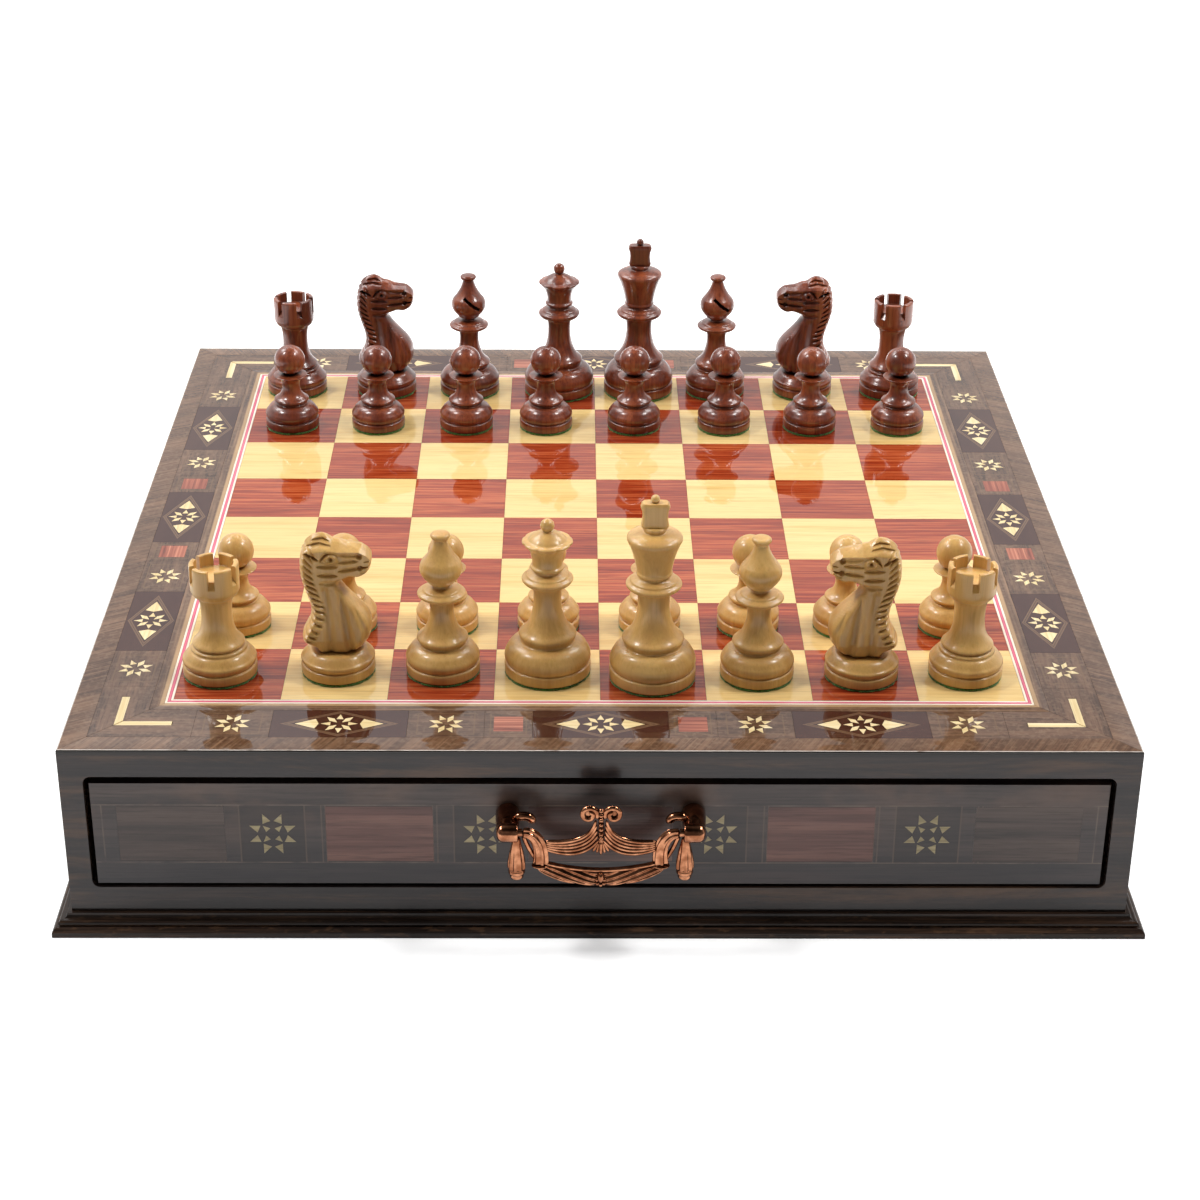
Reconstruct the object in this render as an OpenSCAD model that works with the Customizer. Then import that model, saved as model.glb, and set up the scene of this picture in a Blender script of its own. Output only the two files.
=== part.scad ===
// Chess box: a square case with an inlaid playing board on top, a drawer in the
// front and one in the back, a swinging cast handle on each drawer and a full
// set of turned and carved chessmen standing on the board.
// Units are millimetres, the origin is the middle of the underside, +Z is up,
// -Y is the front.

/* [Case] */
// Width and depth of the case over its walls
case_w = 400; // [396:1:420]
// Height of the case from its underside to the playing surface
case_h = 78.2; // [76:0.2:90]
// Thickness of the four walls
wall_t = 8.8; // [8:0.1:10]
// Height of the sill below each drawer opening
sill_h = 18.4; // [17:0.1:20]
// Height of the rail above each drawer opening, veneer included
head_rail_h = 11.5; // [11:0.1:13]
// Corner radius of the drawer openings
opening_r = 3; // [2:0.5:4]
// Thickness of the base panel
base_t = 6; // [4:0.5:8]
// Depth of the grooves that hold the base panel
base_groove = 3; // [2:0.5:4]
// Thickness of the partition between the two drawer bays
partition_t = 8; // [6:0.5:10]
// Thickness of the panel that carries the playing board
core_t = 9.7; // [8:0.1:10.5]
// Width of the moulding round the foot of the case
moulding_w = 7; // [6:0.5:9]
// Height of the moulding round the foot of the case
moulding_h = 7.7; // [7:0.1:9]

/* [Playing board] */
// Side of one square
square_w = 40.5; // [38:0.1:41]
// Thickness of the veneer, squares and border alike
veneer_t = 1; // [0.8:0.1:1.2]
// Saw line left between two pieces of veneer
veneer_line = 0.1; // [0.06:0.02:0.14]
// Width of each of the three lines of the stringing
string_w = 0.9; // [0.7:0.1:1.1]
// Width of the plain strip inside the marquetry band
strip_w = 5; // [4:0.5:6]
// Width of the marquetry band
band_w = 20; // [19:0.5:21]
// Least width of the crossbanded strip outside the tiles
outer_strip_least = 6; // [4:0.5:9]
// Length of a tile with a diamond and two darts
diamond_tile = 51; // [48:0.5:52]
// Length of a tile with a plain bar
bar_tile = 18; // [16:0.5:19]
// Length of a tile with a star
star_tile = 28.7; // [24:0.1:30]
// Radius of the inlaid stars
star_r = 7; // [6:0.1:7.6]
// Plain length between the last star tile and the pale angle at each corner
corner_margin = 8; // [6:0.5:9]
// Width of the pale angle at each corner
corner_w = 3; // [2:0.5:4]
// Gap between an inlay and its pocket
inlay_gap = 0.04; // [0.02:0.01:0.08]

/* [Drawers] */
// Gap beside the drawer face
face_side_gap = 2; // [1.6:0.1:2.4]
// Gap above the drawer face
face_top_gap = 3.3; // [2.5:0.1:4]
// Gap below the drawer face
face_low_gap = 1.2; // [0.8:0.1:1.6]
// Setback of the drawer face behind the case front
face_recess = 1; // [0.5:0.1:2]
// Thickness of the drawer face
face_t = 10; // [9:0.5:12]
// Thickness of the drawer sides and back
side_t = 6; // [5:0.5:7]
// Depth of the housings in the face that hold the drawer sides
housing = 4; // [3:0.5:5]
// How far the drawer sides stay below the top of the face
side_drop = 1.4; // [1:0.1:4]
// Running gap under the drawer sides
slide_gap = 0.15; // [0.1:0.05:0.3]
// Running gap between the drawer sides and their guides
guide_gap = 0.3; // [0.2:0.05:0.5]
// Height of the drawer guides
guide_h = 12; // [9:0.5:15]
// Thickness of the drawer bottom
bottom_t = 3; // [2.5:0.5:4]
// Height of the lip below the drawer bottom
bottom_lip = 3; // [2:0.5:4]
// Depth of the grooves that hold the drawer bottom
bottom_groove = 3; // [2:0.5:3.5]
// Free room behind the drawer
drawer_back_gap = 2; // [1:0.5:4]
// Thickness of the dividers
divider_t = 4; // [3:0.5:5]
// How far the dividers stay below the top of the drawer sides
divider_drop = 4; // [2:0.5:8]
// Clearance of the halved joints of the dividers
lap_gap = 0.1; // [0.05:0.05:0.2]
// Depth of the marquetry in the drawer face
face_inlay_t = 0.8; // [0.6:0.1:1]
// Outer radius of the stars on the drawer face
face_star_r = 9.4; // [8.5:0.1:10]
// Height of the marquetry bars on the drawer face
face_bar_h = 24; // [20:0.5:26]
// Length of the marquetry bars on the drawer face
face_bar_w = 40; // [36:1:42]
// Length added to the middle bar, behind the handle
face_bar_more = 14; // [8:1:16]

/* [Handles] */
// Distance between the two posts of a handle
post_span = 69; // [66:0.5:74]
// Distance of the swing axis from the drawer face
post_out = 14; // [13:0.5:17]
// Height of the swing axis above the middle of the drawer face
axis_rise = 9.6; // [7:0.1:10]
// Diameter of the post barrels
barrel_d = 7.2; // [6.8:0.1:8]
// Length of the post barrels
barrel_len = 8; // [7:0.5:9]
// Diameter of the post stems
stem_d = 7; // [6:0.5:7.5]
// Diameter of the pins on the bail
pin_d = 3; // [2.4:0.1:3.4]
// Clearance of the pin in its bore, on the radius
pin_gap = 0.08; // [0.04:0.01:0.1]
// Depth of the pin in the barrel
pin_in = 4; // [3:0.5:5]
// Side play between the bail and each barrel
barrel_play = 1; // [0.5:0.1:1.4]
// Thickness of the lower swag of the bail
swag_t = 5; // [4:0.5:6]
// Diameter of the screws that hold the posts
screw_d = 4; // [3:0.5:4]
// Clearance of the screws, on the radius
screw_gap = 0.1; // [0.05:0.05:0.2]
// Length of screw inside the post
screw_in = 7; // [6:0.5:8]
// Thickness of the screw head
screw_head_t = 2.4; // [2:0.1:3]

/* [Chessmen] */
// Height of the kings
king_h = 77.6; // [70:0.1:90]
// Height of the queens
queen_h = 65.2; // [60:0.1:75]
// Height of the bishops
bishop_h = 59.5; // [54:0.1:68]
// Height of the knights
knight_h = 59.5; // [54:0.1:68]
// Height of the rooks
rook_h = 47.5; // [43:0.1:55]
// Height of the pawns
pawn_h = 40.3; // [36:0.1:46]
// Foot diameter of kings and queens
royal_d = 33.4; // [31:0.1:36]
// Foot diameter of bishops, knights and rooks
officer_d = 28.6; // [26:0.1:31]
// Foot diameter of the pawns
pawn_d = 24.8; // [22:0.1:27]
// Thickness of the felt under each man
felt_t = 1; // [0.8:0.1:1.4]
// Glue line between the felt and the foot
felt_gap = 0.04; // [0.02:0.01:0.06]

/* [View] */
// Which node to draw

/* [Hidden] */
$fn = 64;

walnut = [0.24, 0.16, 0.11];
dark_walnut = [0.17, 0.12, 0.10];
brown_walnut = [0.44, 0.31, 0.19];
maple = [0.93, 0.85, 0.62];
padauk = [0.62, 0.27, 0.20];
plywood = [0.70, 0.56, 0.38];
copper = [0.66, 0.38, 0.24];
boxwood = [0.84, 0.68, 0.42];
rosewood = [0.27, 0.12, 0.08];
baize = [0.12, 0.30, 0.14];

half = case_w / 2;
inner = half - wall_t;
core_top = case_h - veneer_t;
core_low = core_top - core_t;
opening_top = case_h - head_rail_h;
// overlap of a cutting body past the surface it opens
cut = 1;
// gap at the buried edge of a panel in its groove
edge_gap = 0.3;
// gap that keeps two mitred lengths apart
mitre_gap = 0.1;

// edges of the rings on the playing board, as half widths
field_half = 4 * square_w;
string_in = field_half + veneer_line;
string_step = string_w + veneer_line;
strip_in = string_in + 3 * string_step;
// the rings keep their widths where the border has room for them, and are
// narrowed alike, marquetry included, where it hasn't
ring_room = half - strip_in - 2 * veneer_line;
ring_fit = min(1, ring_room / (strip_w + band_w + outer_strip_least));
band_in = strip_in + strip_w * ring_fit + veneer_line;
band_out = band_in + band_w * ring_fit;
outer_in = band_out + veneer_line;

// the drawer
face_half = inner - face_side_gap;
face_low = sill_h + face_low_gap;
face_high = opening_top - face_top_gap;
face_y = -(half - face_recess);
face_back_y = face_y + face_t;
side_low = sill_h + slide_gap;
side_high = face_high - side_drop;
drawer_end_y = -(partition_t / 2 + drawer_back_gap);
panel_low = side_low + bottom_lip;
panel_high = panel_low + bottom_t;
divider_high = side_high - divider_drop;

// the handle
axis_y = face_y - post_out;
axis_z = (face_low + face_high) / 2 + axis_rise;
post_x = post_span / 2;
barrel_in = post_x - barrel_len / 2;

function arc(cx, cy, r, a0, a1, n) = [
    for (i = [0:n]) let (a = a0 + (a1 - a0) * i / n) [cx + r * cos(a), cy + r * sin(a)]
];

// a smooth bend from p0 to p2 drawn towards p1
function bend(p0, p1, p2, n) = [
    for (i = [0:n]) let (t = i / n) (1 - t) * (1 - t) * p0 + 2 * t * (1 - t) * p1 + t * t * p2
];

function mirrored(points) = [for (i = [len(points) - 1:-1:0]) [-points[i][0], points[i][1]]];

function middle(points) = [for (i = [0:len(points) - 1]) 1] * points / len(points);

// a convex outline drawn in towards its middle by the inlay gap
function drawn_in(points, room, gap) = [
    for (p = points) middle(points) + (p - middle(points)) * (1 - gap / room)
];

function polar(r, a) = [r * cos(a), r * sin(a)];

// ---------------------------------------------------------------- case

module four_sides() {
    for (k = [0:3]) {
        rotate([0, 0, 90 * k]) children();
    }
}

// the groove that runs round inside the four walls and holds the base panel
module panel_groove() {
    reach = inner + base_groove;
    translate([-reach, -reach, sill_h - base_t]) cube([2 * reach, 2 * reach, base_t]);
}

module base_panel() {
    reach = inner + base_groove - edge_gap;
    color(plywood) translate([-reach, -reach, sill_h - base_t]) cube([2 * reach, 2 * reach, base_t]);
}

module side_walls() {
    color(walnut) difference() {
        for (s = [-1, 1]) {
            translate([s * (inner + wall_t / 2) - wall_t / 2, -inner, 0])
            cube([wall_t, 2 * inner, core_top]);
        }
        panel_groove();
    }
}

module opening_outline() {
    w = inner;
    r = opening_r;
    polygon(concat(
        arc(w - r, sill_h + r, r, -90, 0, 5),
        arc(w - r, opening_top - r, r, 0, 90, 5),
        arc(r - w, opening_top - r, r, 90, 180, 5),
        arc(r - w, sill_h + r, r, 180, 270, 5)
    ));
}

module end_frame() {
    difference() {
        translate([-half, -half, 0]) cube([case_w, wall_t, core_top]);
        translate([0, -inner + cut, 0]) rotate([90, 0, 0])
            linear_extrude(wall_t + 2 * cut) opening_outline();
        panel_groove();
    }
}

module front_frame() {
    color(walnut) end_frame();
}

module rear_frame() {
    color(walnut) rotate([0, 0, 180]) end_frame();
}

module partition() {
    color(plywood) translate([-inner, -partition_t / 2, sill_h])
        cube([2 * inner, partition_t, core_low - sill_h]);
}

module drawer_guides() {
    guide_t = face_side_gap - guide_gap;
    setback = 12;
    len = inner - setback - partition_t / 2;
    color(plywood) for (sx = [-1, 1], sy = [-1, 1]) {
        x = sx > 0 ? inner - guide_t : -inner;
        y = sy > 0 ? partition_t / 2 : -partition_t / 2 - len;
        translate([x, y, sill_h]) cube([guide_t, len, guide_h]);
    }
}

module top_core() {
    color(plywood) translate([-inner, -inner, core_low]) cube([2 * inner, 2 * inner, core_t]);
}

// moulding outline: plinth fillet, quarter round, bead, cove and top ledge
function moulding_points() = let (w = moulding_w, h = moulding_h) concat(
    [[0, 0], [w, 0]],
    arc(w * 0.7, h * 0.19, w * 0.3, 0, 90, 6),
    arc(w * 0.5, h * 0.6, h * 0.15, -90, 90, 6),
    bend([w * 0.42, h * 0.75], [w * 0.24, h * 0.77], [w * 0.22, h * 0.93], 4),
    [[w * 0.22, h], [0, h]]
);

module base_moulding() {
    reach = half + moulding_w + cut;
    color(walnut) four_sides() intersection() {
        translate([-reach, -half, 0]) rotate([90, 0, 90])
            linear_extrude(2 * reach) mirror([1, 0]) polygon(moulding_points());
        translate([0, -mitre_gap, -cut]) linear_extrude(moulding_h + 2 * cut)
            polygon([[0, 0], [reach, -reach], [-reach, -reach]]);
    }
}

// ---------------------------------------------------------------- playing board

module squares(parity) {
    side = square_w - veneer_line;
    for (i = [0:7], j = [0:7]) {
        if ((i + j) % 2 == parity) {
            translate([(i - 3.5) * square_w, (j - 3.5) * square_w, core_top + veneer_t / 2])
                cube([side, side, veneer_t], center = true);
        }
    }
}

module light_squares() {
    color(maple) squares(1);
}

module dark_squares() {
    color(padauk) squares(0);
}

// four mitred lengths of veneer between two half widths
module ring(r0, r1) {
    g = veneer_line;
    four_sides() translate([0, 0, core_top]) linear_extrude(veneer_t)
        polygon([[g - r0, -r0], [r0 - g, -r0], [r1 - g, -r1], [g - r1, -r1]]);
}

module stringing() {
    for (k = [0:2]) {
        color(k == 1 ? padauk : maple)
            ring(string_in + k * string_step, string_in + k * string_step + string_w);
    }
}

module border_strips() {
    color(brown_walnut) ring(strip_in, band_in - veneer_line);
    color(brown_walnut) ring(outer_in, half);
}

band_mid = (band_in + band_out) / 2;
bar_at = (diamond_tile + bar_tile) / 2;
star_at_1 = bar_at + (bar_tile + star_tile) / 2;
diamond_at = star_at_1 + (star_tile + diamond_tile) / 2;
star_at_2 = diamond_at + (diamond_tile + star_tile) / 2;
corner_from = star_at_2 + star_tile / 2;
band_star_r = star_r * ring_fit;

// one blade of the small star: a long rhomb towards the middle
function blade() = let (r = band_star_r) [
    [r * 0.17, 0], [r * 0.58, -r * 0.18], [r, 0], [r * 0.58, r * 0.18]
];

// one blade of the small star: a short triangle
function point_blade() = let (r = band_star_r) [[r * 0.47, -r * 0.2], [r, 0], [r * 0.47, r * 0.2]];

module small_star(turn, gap) {
    for (k = [0:3]) {
        rotate([0, 0, turn + 45 + 90 * k]) polygon(drawn_in(blade(), band_star_r * 0.18, gap));
        rotate([0, 0, turn + 90 * k]) polygon(drawn_in(point_blade(), band_star_r * 0.14, gap));
    }
}

// a dart beside the star of a diamond tile
module dart(s, gap) {
    near = band_star_r * 1.1;
    wide = near + 1.3 * ring_fit;
    tip = near + 9 * ring_fit;
    side = 3.6 * ring_fit;
    outline = [[near, 0], [wide, -side], [tip, 0], [wide, side]];
    scale([s, 1]) polygon(drawn_in(outline, 2.5 * ring_fit, gap));
}

module band_stars(gap) {
    for (s = [-1, 1]) {
        translate([s * star_at_1, -band_mid]) small_star(22.5, gap);
        translate([s * star_at_2, -band_mid]) small_star(22.5, gap);
    }
    for (x = [-diamond_at, 0, diamond_at]) {
        translate([x, -band_mid]) {
            small_star(0, gap);
            dart(-1, gap);
            dart(1, gap);
        }
    }
}

// one arm of the pale angle inlaid at each corner
module corner_arm(s, gap) {
    w = corner_w * ring_fit;
    out = band_mid + w / 2;
    from = corner_from + corner_margin;
    scale([s, 1]) polygon(drawn_in(
        [[from, -out], [out - gap, -out], [out - w - gap, w - out], [from, w - out]], w / 2, gap));
}

module band_bars(gap) {
    bar_w = bar_tile - 7;
    bar_h = (band_w - 9) * ring_fit;
    for (s = [-1, 1]) {
        translate([s * bar_at, -band_mid]) square([bar_w - 2 * gap, bar_h - 2 * gap], center = true);
    }
}

module tile(x, w) {
    translate([x - w / 2 + veneer_line / 2, -band_out]) square([w - veneer_line, band_out - band_in]);
}

module band_tiles() {
    tile(0, diamond_tile);
    for (s = [-1, 1]) {
        tile(s * bar_at, bar_tile);
        tile(s * star_at_1, star_tile);
        tile(s * diamond_at, diamond_tile);
        tile(s * star_at_2, star_tile);
        from = corner_from + veneer_line / 2;
        scale([s, 1]) polygon([
            [from, -band_in], [band_in - veneer_line, -band_in],
            [band_out - veneer_line, -band_out], [from, -band_out]
        ]);
    }
}

module border_tiles() {
    color(dark_walnut) four_sides() translate([0, 0, core_top]) linear_extrude(veneer_t) difference() {
        band_tiles();
        band_stars(0);
        band_bars(0);
        corner_arm(1, 0);
        corner_arm(-1, 0);
    }
}

module border_inlays() {
    four_sides() translate([0, 0, core_top]) {
        color(maple) linear_extrude(veneer_t) {
            band_stars(inlay_gap);
            corner_arm(1, inlay_gap);
            corner_arm(-1, inlay_gap);
        }
        color(padauk) linear_extrude(veneer_t) band_bars(inlay_gap);
    }
}

// ---------------------------------------------------------------- drawers, drawn at the front

// outer blade of the large star: a triangle with its tip outwards
function large_blade() = let (r = face_star_r) [polar(r * 0.6, -17), polar(r, 0), polar(r * 0.6, 17)];

// inner blade of the large star, half as long
function inner_blade() = let (r = face_star_r * 0.54) [polar(r * 0.5, -28), polar(r, 0), polar(r * 0.5, 28)];

module large_star(gap) {
    for (k = [0:7]) {
        rotate([0, 0, 22.5 + 45 * k]) polygon(drawn_in(large_blade(), 1.3, gap));
    }
    for (k = [0:3]) {
        rotate([0, 0, 45 + 90 * k]) polygon(drawn_in(inner_blade(), 0.9, gap));
    }
}

// positions along the drawer face: stars between three bars and two end bars
face_star_1 = face_half * 0.225;
face_star_2 = face_half * 0.647;
face_bar_mid = (face_star_1 + face_star_2) / 2;
face_bar_end = face_half * 0.846;

module face_stars(gap) {
    for (s = [-1, 1], x = [face_star_1, face_star_2]) {
        translate([s * x, 0]) large_star(gap);
    }
}

module face_bars(gap) {
    for (x = [-face_bar_end, -face_bar_mid, 0, face_bar_mid, face_bar_end]) {
        w = x == 0 ? face_bar_w + face_bar_more : face_bar_w;
        translate([x, 0]) square([w - 2 * gap, face_bar_h - 2 * gap], center = true);
    }
}

// lays an outline drawn round the middle of the face onto the face
module on_face(t) {
    translate([0, face_y + t, (face_low + face_high) / 2]) rotate([90, 0, 0]) linear_extrude(t) children();
}

module face_pocket() {
    translate([0, face_y + face_inlay_t, (face_low + face_high) / 2]) rotate([90, 0, 0])
        linear_extrude(face_inlay_t + cut) children();
}

module bottom_slot() {
    reach = face_half - side_t + bottom_groove;
    from = face_back_y - bottom_groove;
    to = drawer_end_y - side_t + bottom_groove;
    translate([-reach, from, panel_low]) cube([2 * reach, to - from, bottom_t]);
}

module drawer_face() {
    difference() {
        translate([-face_half, face_y, face_low]) cube([2 * face_half, face_t, face_high - face_low]);
        for (s = [-1, 1]) {
            x = s > 0 ? face_half - side_t : -face_half - cut;
            translate([x, face_back_y - housing, side_low - cut])
                cube([side_t + cut, housing + cut, side_high - side_low + cut]);
            translate([s * post_x, face_y - cut, axis_z]) rotate([-90, 0, 0])
                cylinder(d = screw_d + 2 * screw_gap, h = face_t + 2 * cut);
        }
        bottom_slot();
        face_pocket() face_stars(0);
        face_pocket() face_bars(0);
    }
}

module drawer_inlay() {
    color(maple) on_face(face_inlay_t) face_stars(inlay_gap);
    color(padauk) on_face(face_inlay_t) face_bars(inlay_gap);
}

module drawer_walls() {
    y0 = face_back_y - housing;
    difference() {
        union() {
            for (s = [-1, 1]) {
                x = s > 0 ? face_half - side_t : -face_half;
                translate([x, y0, side_low]) cube([side_t, drawer_end_y - y0, side_high - side_low]);
            }
            translate([-face_half + side_t + lap_gap, drawer_end_y - side_t, side_low])
                cube([2 * (face_half - side_t - lap_gap), side_t, side_high - side_low]);
        }
        bottom_slot();
    }
}

module drawer_bottom() {
    reach = face_half - side_t + bottom_groove - edge_gap;
    from = face_back_y - bottom_groove + edge_gap;
    to = drawer_end_y - side_t + bottom_groove - edge_gap;
    translate([-reach, from, panel_low]) cube([2 * reach, to - from, bottom_t]);
}

divider_y = (face_back_y + drawer_end_y - side_t) / 2;
divider_half = face_half - side_t;
divider_h = divider_high - panel_high;

// the long divider is slotted from above, the short ones from below
module drawer_dividers() {
    slot = divider_t + 2 * lap_gap;
    pitch = (2 * divider_half - 3 * divider_t) / 4 + divider_t;
    depth = drawer_end_y - side_t - face_back_y - 2 * lap_gap;
    difference() {
        translate([-divider_half + lap_gap, divider_y - divider_t / 2, panel_high])
            cube([2 * (divider_half - lap_gap), divider_t, divider_h]);
        for (k = [-1:1]) {
            translate([k * pitch - slot / 2, divider_y - slot / 2, panel_high + divider_h / 2 - lap_gap])
                cube([slot, slot, divider_h]);
        }
    }
    for (k = [-1:1]) {
        difference() {
            translate([k * pitch - divider_t / 2, divider_y - depth / 2, panel_high])
                cube([divider_t, depth, divider_h]);
            translate([k * pitch - slot / 2, divider_y - slot / 2, panel_high - cut])
                cube([slot, slot, divider_h / 2 + cut]);
        }
    }
}

// ---------------------------------------------------------------- handles, drawn at the front

// the ornaments of a post are drawn for a barrel 7.2 mm thick and scaled with it
post_fit = barrel_d / 7.2;

// drop below a post, as a turned outline hanging from z = 0
module tassel() {
    rotate_extrude() polygon([for (p = [
        [0, 1.5], [1.3, 1.5], [1.9, -1.4], [3.3, -9], [3.6, -11.4], [3, -11.9], [3.3, -12.5],
        [3.3, -13.5], [2.5, -14.1], [2.7, -14.8], [2.3, -15.8], [0, -16.3]
    ]) p * post_fit]);
}

// small rounded scroll beside the barrel, lying along +X
module scroll() {
    rotate([90, 0, 90]) rotate_extrude()
        polygon([for (p = concat([[0, 0]], arc(0, 1.5, 1.5, -60, 0, 4), [[1.5, 6], [0, 6]])) p * post_fit]);
}

// right-hand post: stem, barrel with a rounded outer end, scroll and tassel
module post() {
    r = barrel_d / 2;
    bore_r = pin_d / 2 + pin_gap;
    difference() {
        union() {
            translate([post_x, axis_y, axis_z]) rotate([-90, 0, 0]) cylinder(d = stem_d, h = post_out);
            translate([barrel_in, axis_y, axis_z]) rotate([90, 0, 90]) rotate_extrude()
                polygon(concat([[0, 0], [r - 0.4, 0], [r, 0.4]],
                    arc(r - 2.6, barrel_len - 2.6, 2.6, 0, 90, 5), [[0, barrel_len]]));
            translate([post_x - 3.4 * post_fit, axis_y, axis_z - r]) tassel();
            translate([barrel_in, axis_y, axis_z] + [-4.6, 5.4, 2.4] * post_fit) scroll();
        }
        translate([barrel_in - cut, axis_y, axis_z]) rotate([90, 0, 90])
            cylinder(r = bore_r, h = pin_in + 0.5 + cut);
        translate([post_x, face_y - screw_in - 0.5, axis_z]) rotate([-90, 0, 0])
            cylinder(d = screw_d + 2 * screw_gap, h = screw_in + 0.5 + cut);
    }
}

module post_screw() {
    head_d = 2 * screw_d;
    translate([post_x, face_y - screw_in, axis_z]) rotate([-90, 0, 0])
        cylinder(d = screw_d, h = screw_in + face_t + 1);
    translate([post_x, face_back_y, axis_z]) rotate([-90, 0, 0]) cylinder(d = head_d, h = screw_head_t);
}

module handle_posts() {
    for (s = [0, 1]) {
        mirror([s, 0, 0]) {
            post();
            post_screw();
        }
    }
}

// The cast bail, seen from the front, round the swing axis. Its outlines are drawn
// for arms that start 29.5 mm from the middle and are scaled to reach the barrels.
arm_half = barrel_in - barrel_play;
bail_fit = arm_half / 29.5;

function fitted(points) = [for (p = points) p * bail_fit];

function arm_outline() = fitted(concat(
    bend([29.5, 1.8], [24.8, 2.1], [21.4, -5], 5),
    bend([21.4, -5], [19.8, -8], [19.7, -14.5], 4),
    bend([24.4, -14.5], [24.7, -8], [25.4, -4.6], 4),
    bend([25.4, -4.6], [26.4, -1.9], [29.5, -1.8], 3)
));

function half_swag() = concat(
    bend([0, -22.9], [20.6, -22.6], [25.6, -12.4], 10),
    bend([19.4, -12.4], [9.5, -15.1], [0, -15.1], 6)
);

function lower_swag() = fitted(concat(half_swag(), mirrored(half_swag())));

// the section of the lower swag, thick and round in front
function swag_section() = [for (p = concat(
    bend([0.3, -11.5], [0.5, -16], [0.24, -23.5], 4),
    bend([-0.1, -23.5], [-0.9, -17.5], [-0.3, -11.5], 6)
)) [p[0] * swag_t, p[1] * bail_fit]];

function half_drape() = concat(
    bend([0, -8.9], [14, -11.6], [22.4, -6.6], 7),
    [[21.6, -3.2]],
    bend([19, -3], [5.4, -3.2], [3.6, 7], 6)
);

function upper_swag() = fitted(concat(half_drape(), mirrored(half_drape())));

module plate(t) {
    translate([0, t / 2, 0]) rotate([90, 0, 0]) linear_extrude(t) children();
}

// a boss cast on the front of the bail, placed in its drawn outline
module boss(x, z, r, t) {
    translate([x * bail_fit, 1, z * bail_fit]) rotate([90, 0, 0]) cylinder(r = r * bail_fit, h = t);
}

module handle_bail() {
    translate([0, axis_y, axis_z]) {
        intersection() {
            plate(2 * swag_t) polygon(lower_swag());
            rotate([90, 0, 90]) linear_extrude(case_w, center = true) polygon(swag_section());
        }
        plate(swag_t - 1) {
            polygon(arm_outline());
            polygon(mirrored(arm_outline()));
        }
        plate(swag_t - 2.2) polygon(upper_swag());
        for (s = [-1, 1]) {
            boss(s * 4.3, 9.3, 3.3, 3.4);
            translate([s * (arm_half - 0.6), 0, 0]) rotate([0, s * 90, 0])
                cylinder(d = pin_d, h = 0.6 + barrel_play + pin_in);
        }
        for (z = [-6:3:6]) {
            boss(0, z, 1.4, 3.4);
        }
        boss(0, -19, 2.6, 4.6);
    }
}

module rear() {
    rotate([0, 0, 180]) children();
}

module front_drawer_face() {
    color(dark_walnut) drawer_face();
}

module front_drawer_inlay() {
    drawer_inlay();
}

module front_drawer_walls() {
    color(plywood) drawer_walls();
}

module front_drawer_bottom() {
    color(plywood) drawer_bottom();
}

module front_drawer_dividers() {
    color(maple) drawer_dividers();
}

module front_handle_posts() {
    color(copper) handle_posts();
}

module front_handle_bail() {
    color(copper) handle_bail();
}

module rear_drawer_face() {
    color(dark_walnut) rear() drawer_face();
}

module rear_drawer_inlay() {
    rear() drawer_inlay();
}

module rear_drawer_walls() {
    color(plywood) rear() drawer_walls();
}

module rear_drawer_bottom() {
    color(plywood) rear() drawer_bottom();
}

module rear_drawer_dividers() {
    color(maple) rear() drawer_dividers();
}

module rear_handle_posts() {
    color(copper) rear() handle_posts();
}

module rear_handle_bail() {
    color(copper) rear() handle_bail();
}

// ---------------------------------------------------------------- chessmen

// the foot every man shares: plinth, groove, bulge and shoulder, up to radius r1 at height z1
function foot(r, p, z1, r1) = concat(
    [[0, felt_t], [r - 0.4, felt_t], [r, felt_t + 0.4], [r, p], [r - 0.5, p + 0.4], [r - 0.9, p + 0.5]],
    bend([r - 0.9, p + 0.5], [r + 0.7, p + 2.6], [r - 0.6, p + (z1 - p) * 0.55], 5),
    bend([r - 1, p + (z1 - p) * 0.62], [r - 2.4, z1 - 0.4], [r1, z1], 4)
);

// turns an outline drawn for height h0 and foot diameter d0 to the sizes asked for
module turned(points, h0, h) {
    k = (h - felt_t) / (h0 - felt_t);
    rotate_extrude() polygon([for (p = points) [p[0], felt_t + (p[1] - felt_t) * k]]);
}

module felt(d) {
    color(baize) cylinder(d = d - 1.2, h = felt_t - felt_gap);
}

// how far the hand has set each man from the middle of its square, left to right
white_x = [-5, 0, 0, 0, 0, 0, 0, 0];
white_y = [1, 3, 3, 3, -2, 0, 0, 1];
white_pawn_x = [-2, 0, 0, 0, 0, -1, -3, -1];
dark_x = [-3, 0, 0, 3, 1, -2, 0, 2];
dark_pawn_x = [-1, -1, 0, -3, -2, 0, 0, 1];
dark_y = 4;

function set_x(i, j) = j == 0 ? white_x[i] : j == 1 ? white_pawn_x[i] : j == 6 ? dark_pawn_x[i] : dark_x[i];

function set_y(i, j) = j == 0 ? white_y[i] : j == 7 ? dark_y : 0;

// places a man on a square, counted from the left and from the front
module on_square(i, j) {
    translate([(i - 3.5) * square_w + set_x(i, j), (j - 3.5) * square_w + set_y(i, j), case_h]) children();
}

module pawn() {
    r = pawn_d / 2;
    turned(concat(
        foot(r, 4.4, 12, 7.3),
        [[7.1, 12.6], [8, 13.4], [8.2, 14], [7.7, 14.6]],
        bend([7.7, 14.6], [4.2, 16.4], [4.1, 21], 5),
        bend([4.1, 21], [4.2, 24.2], [7, 25.2], 4),
        [[7.8, 25.6], [7.8, 26.1], [3.2, 26.8]],
        arc(0, 33.2, 7.1, -64, 90, 12)
    ), 40.3, pawn_h);
    felt(pawn_d);
}

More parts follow.
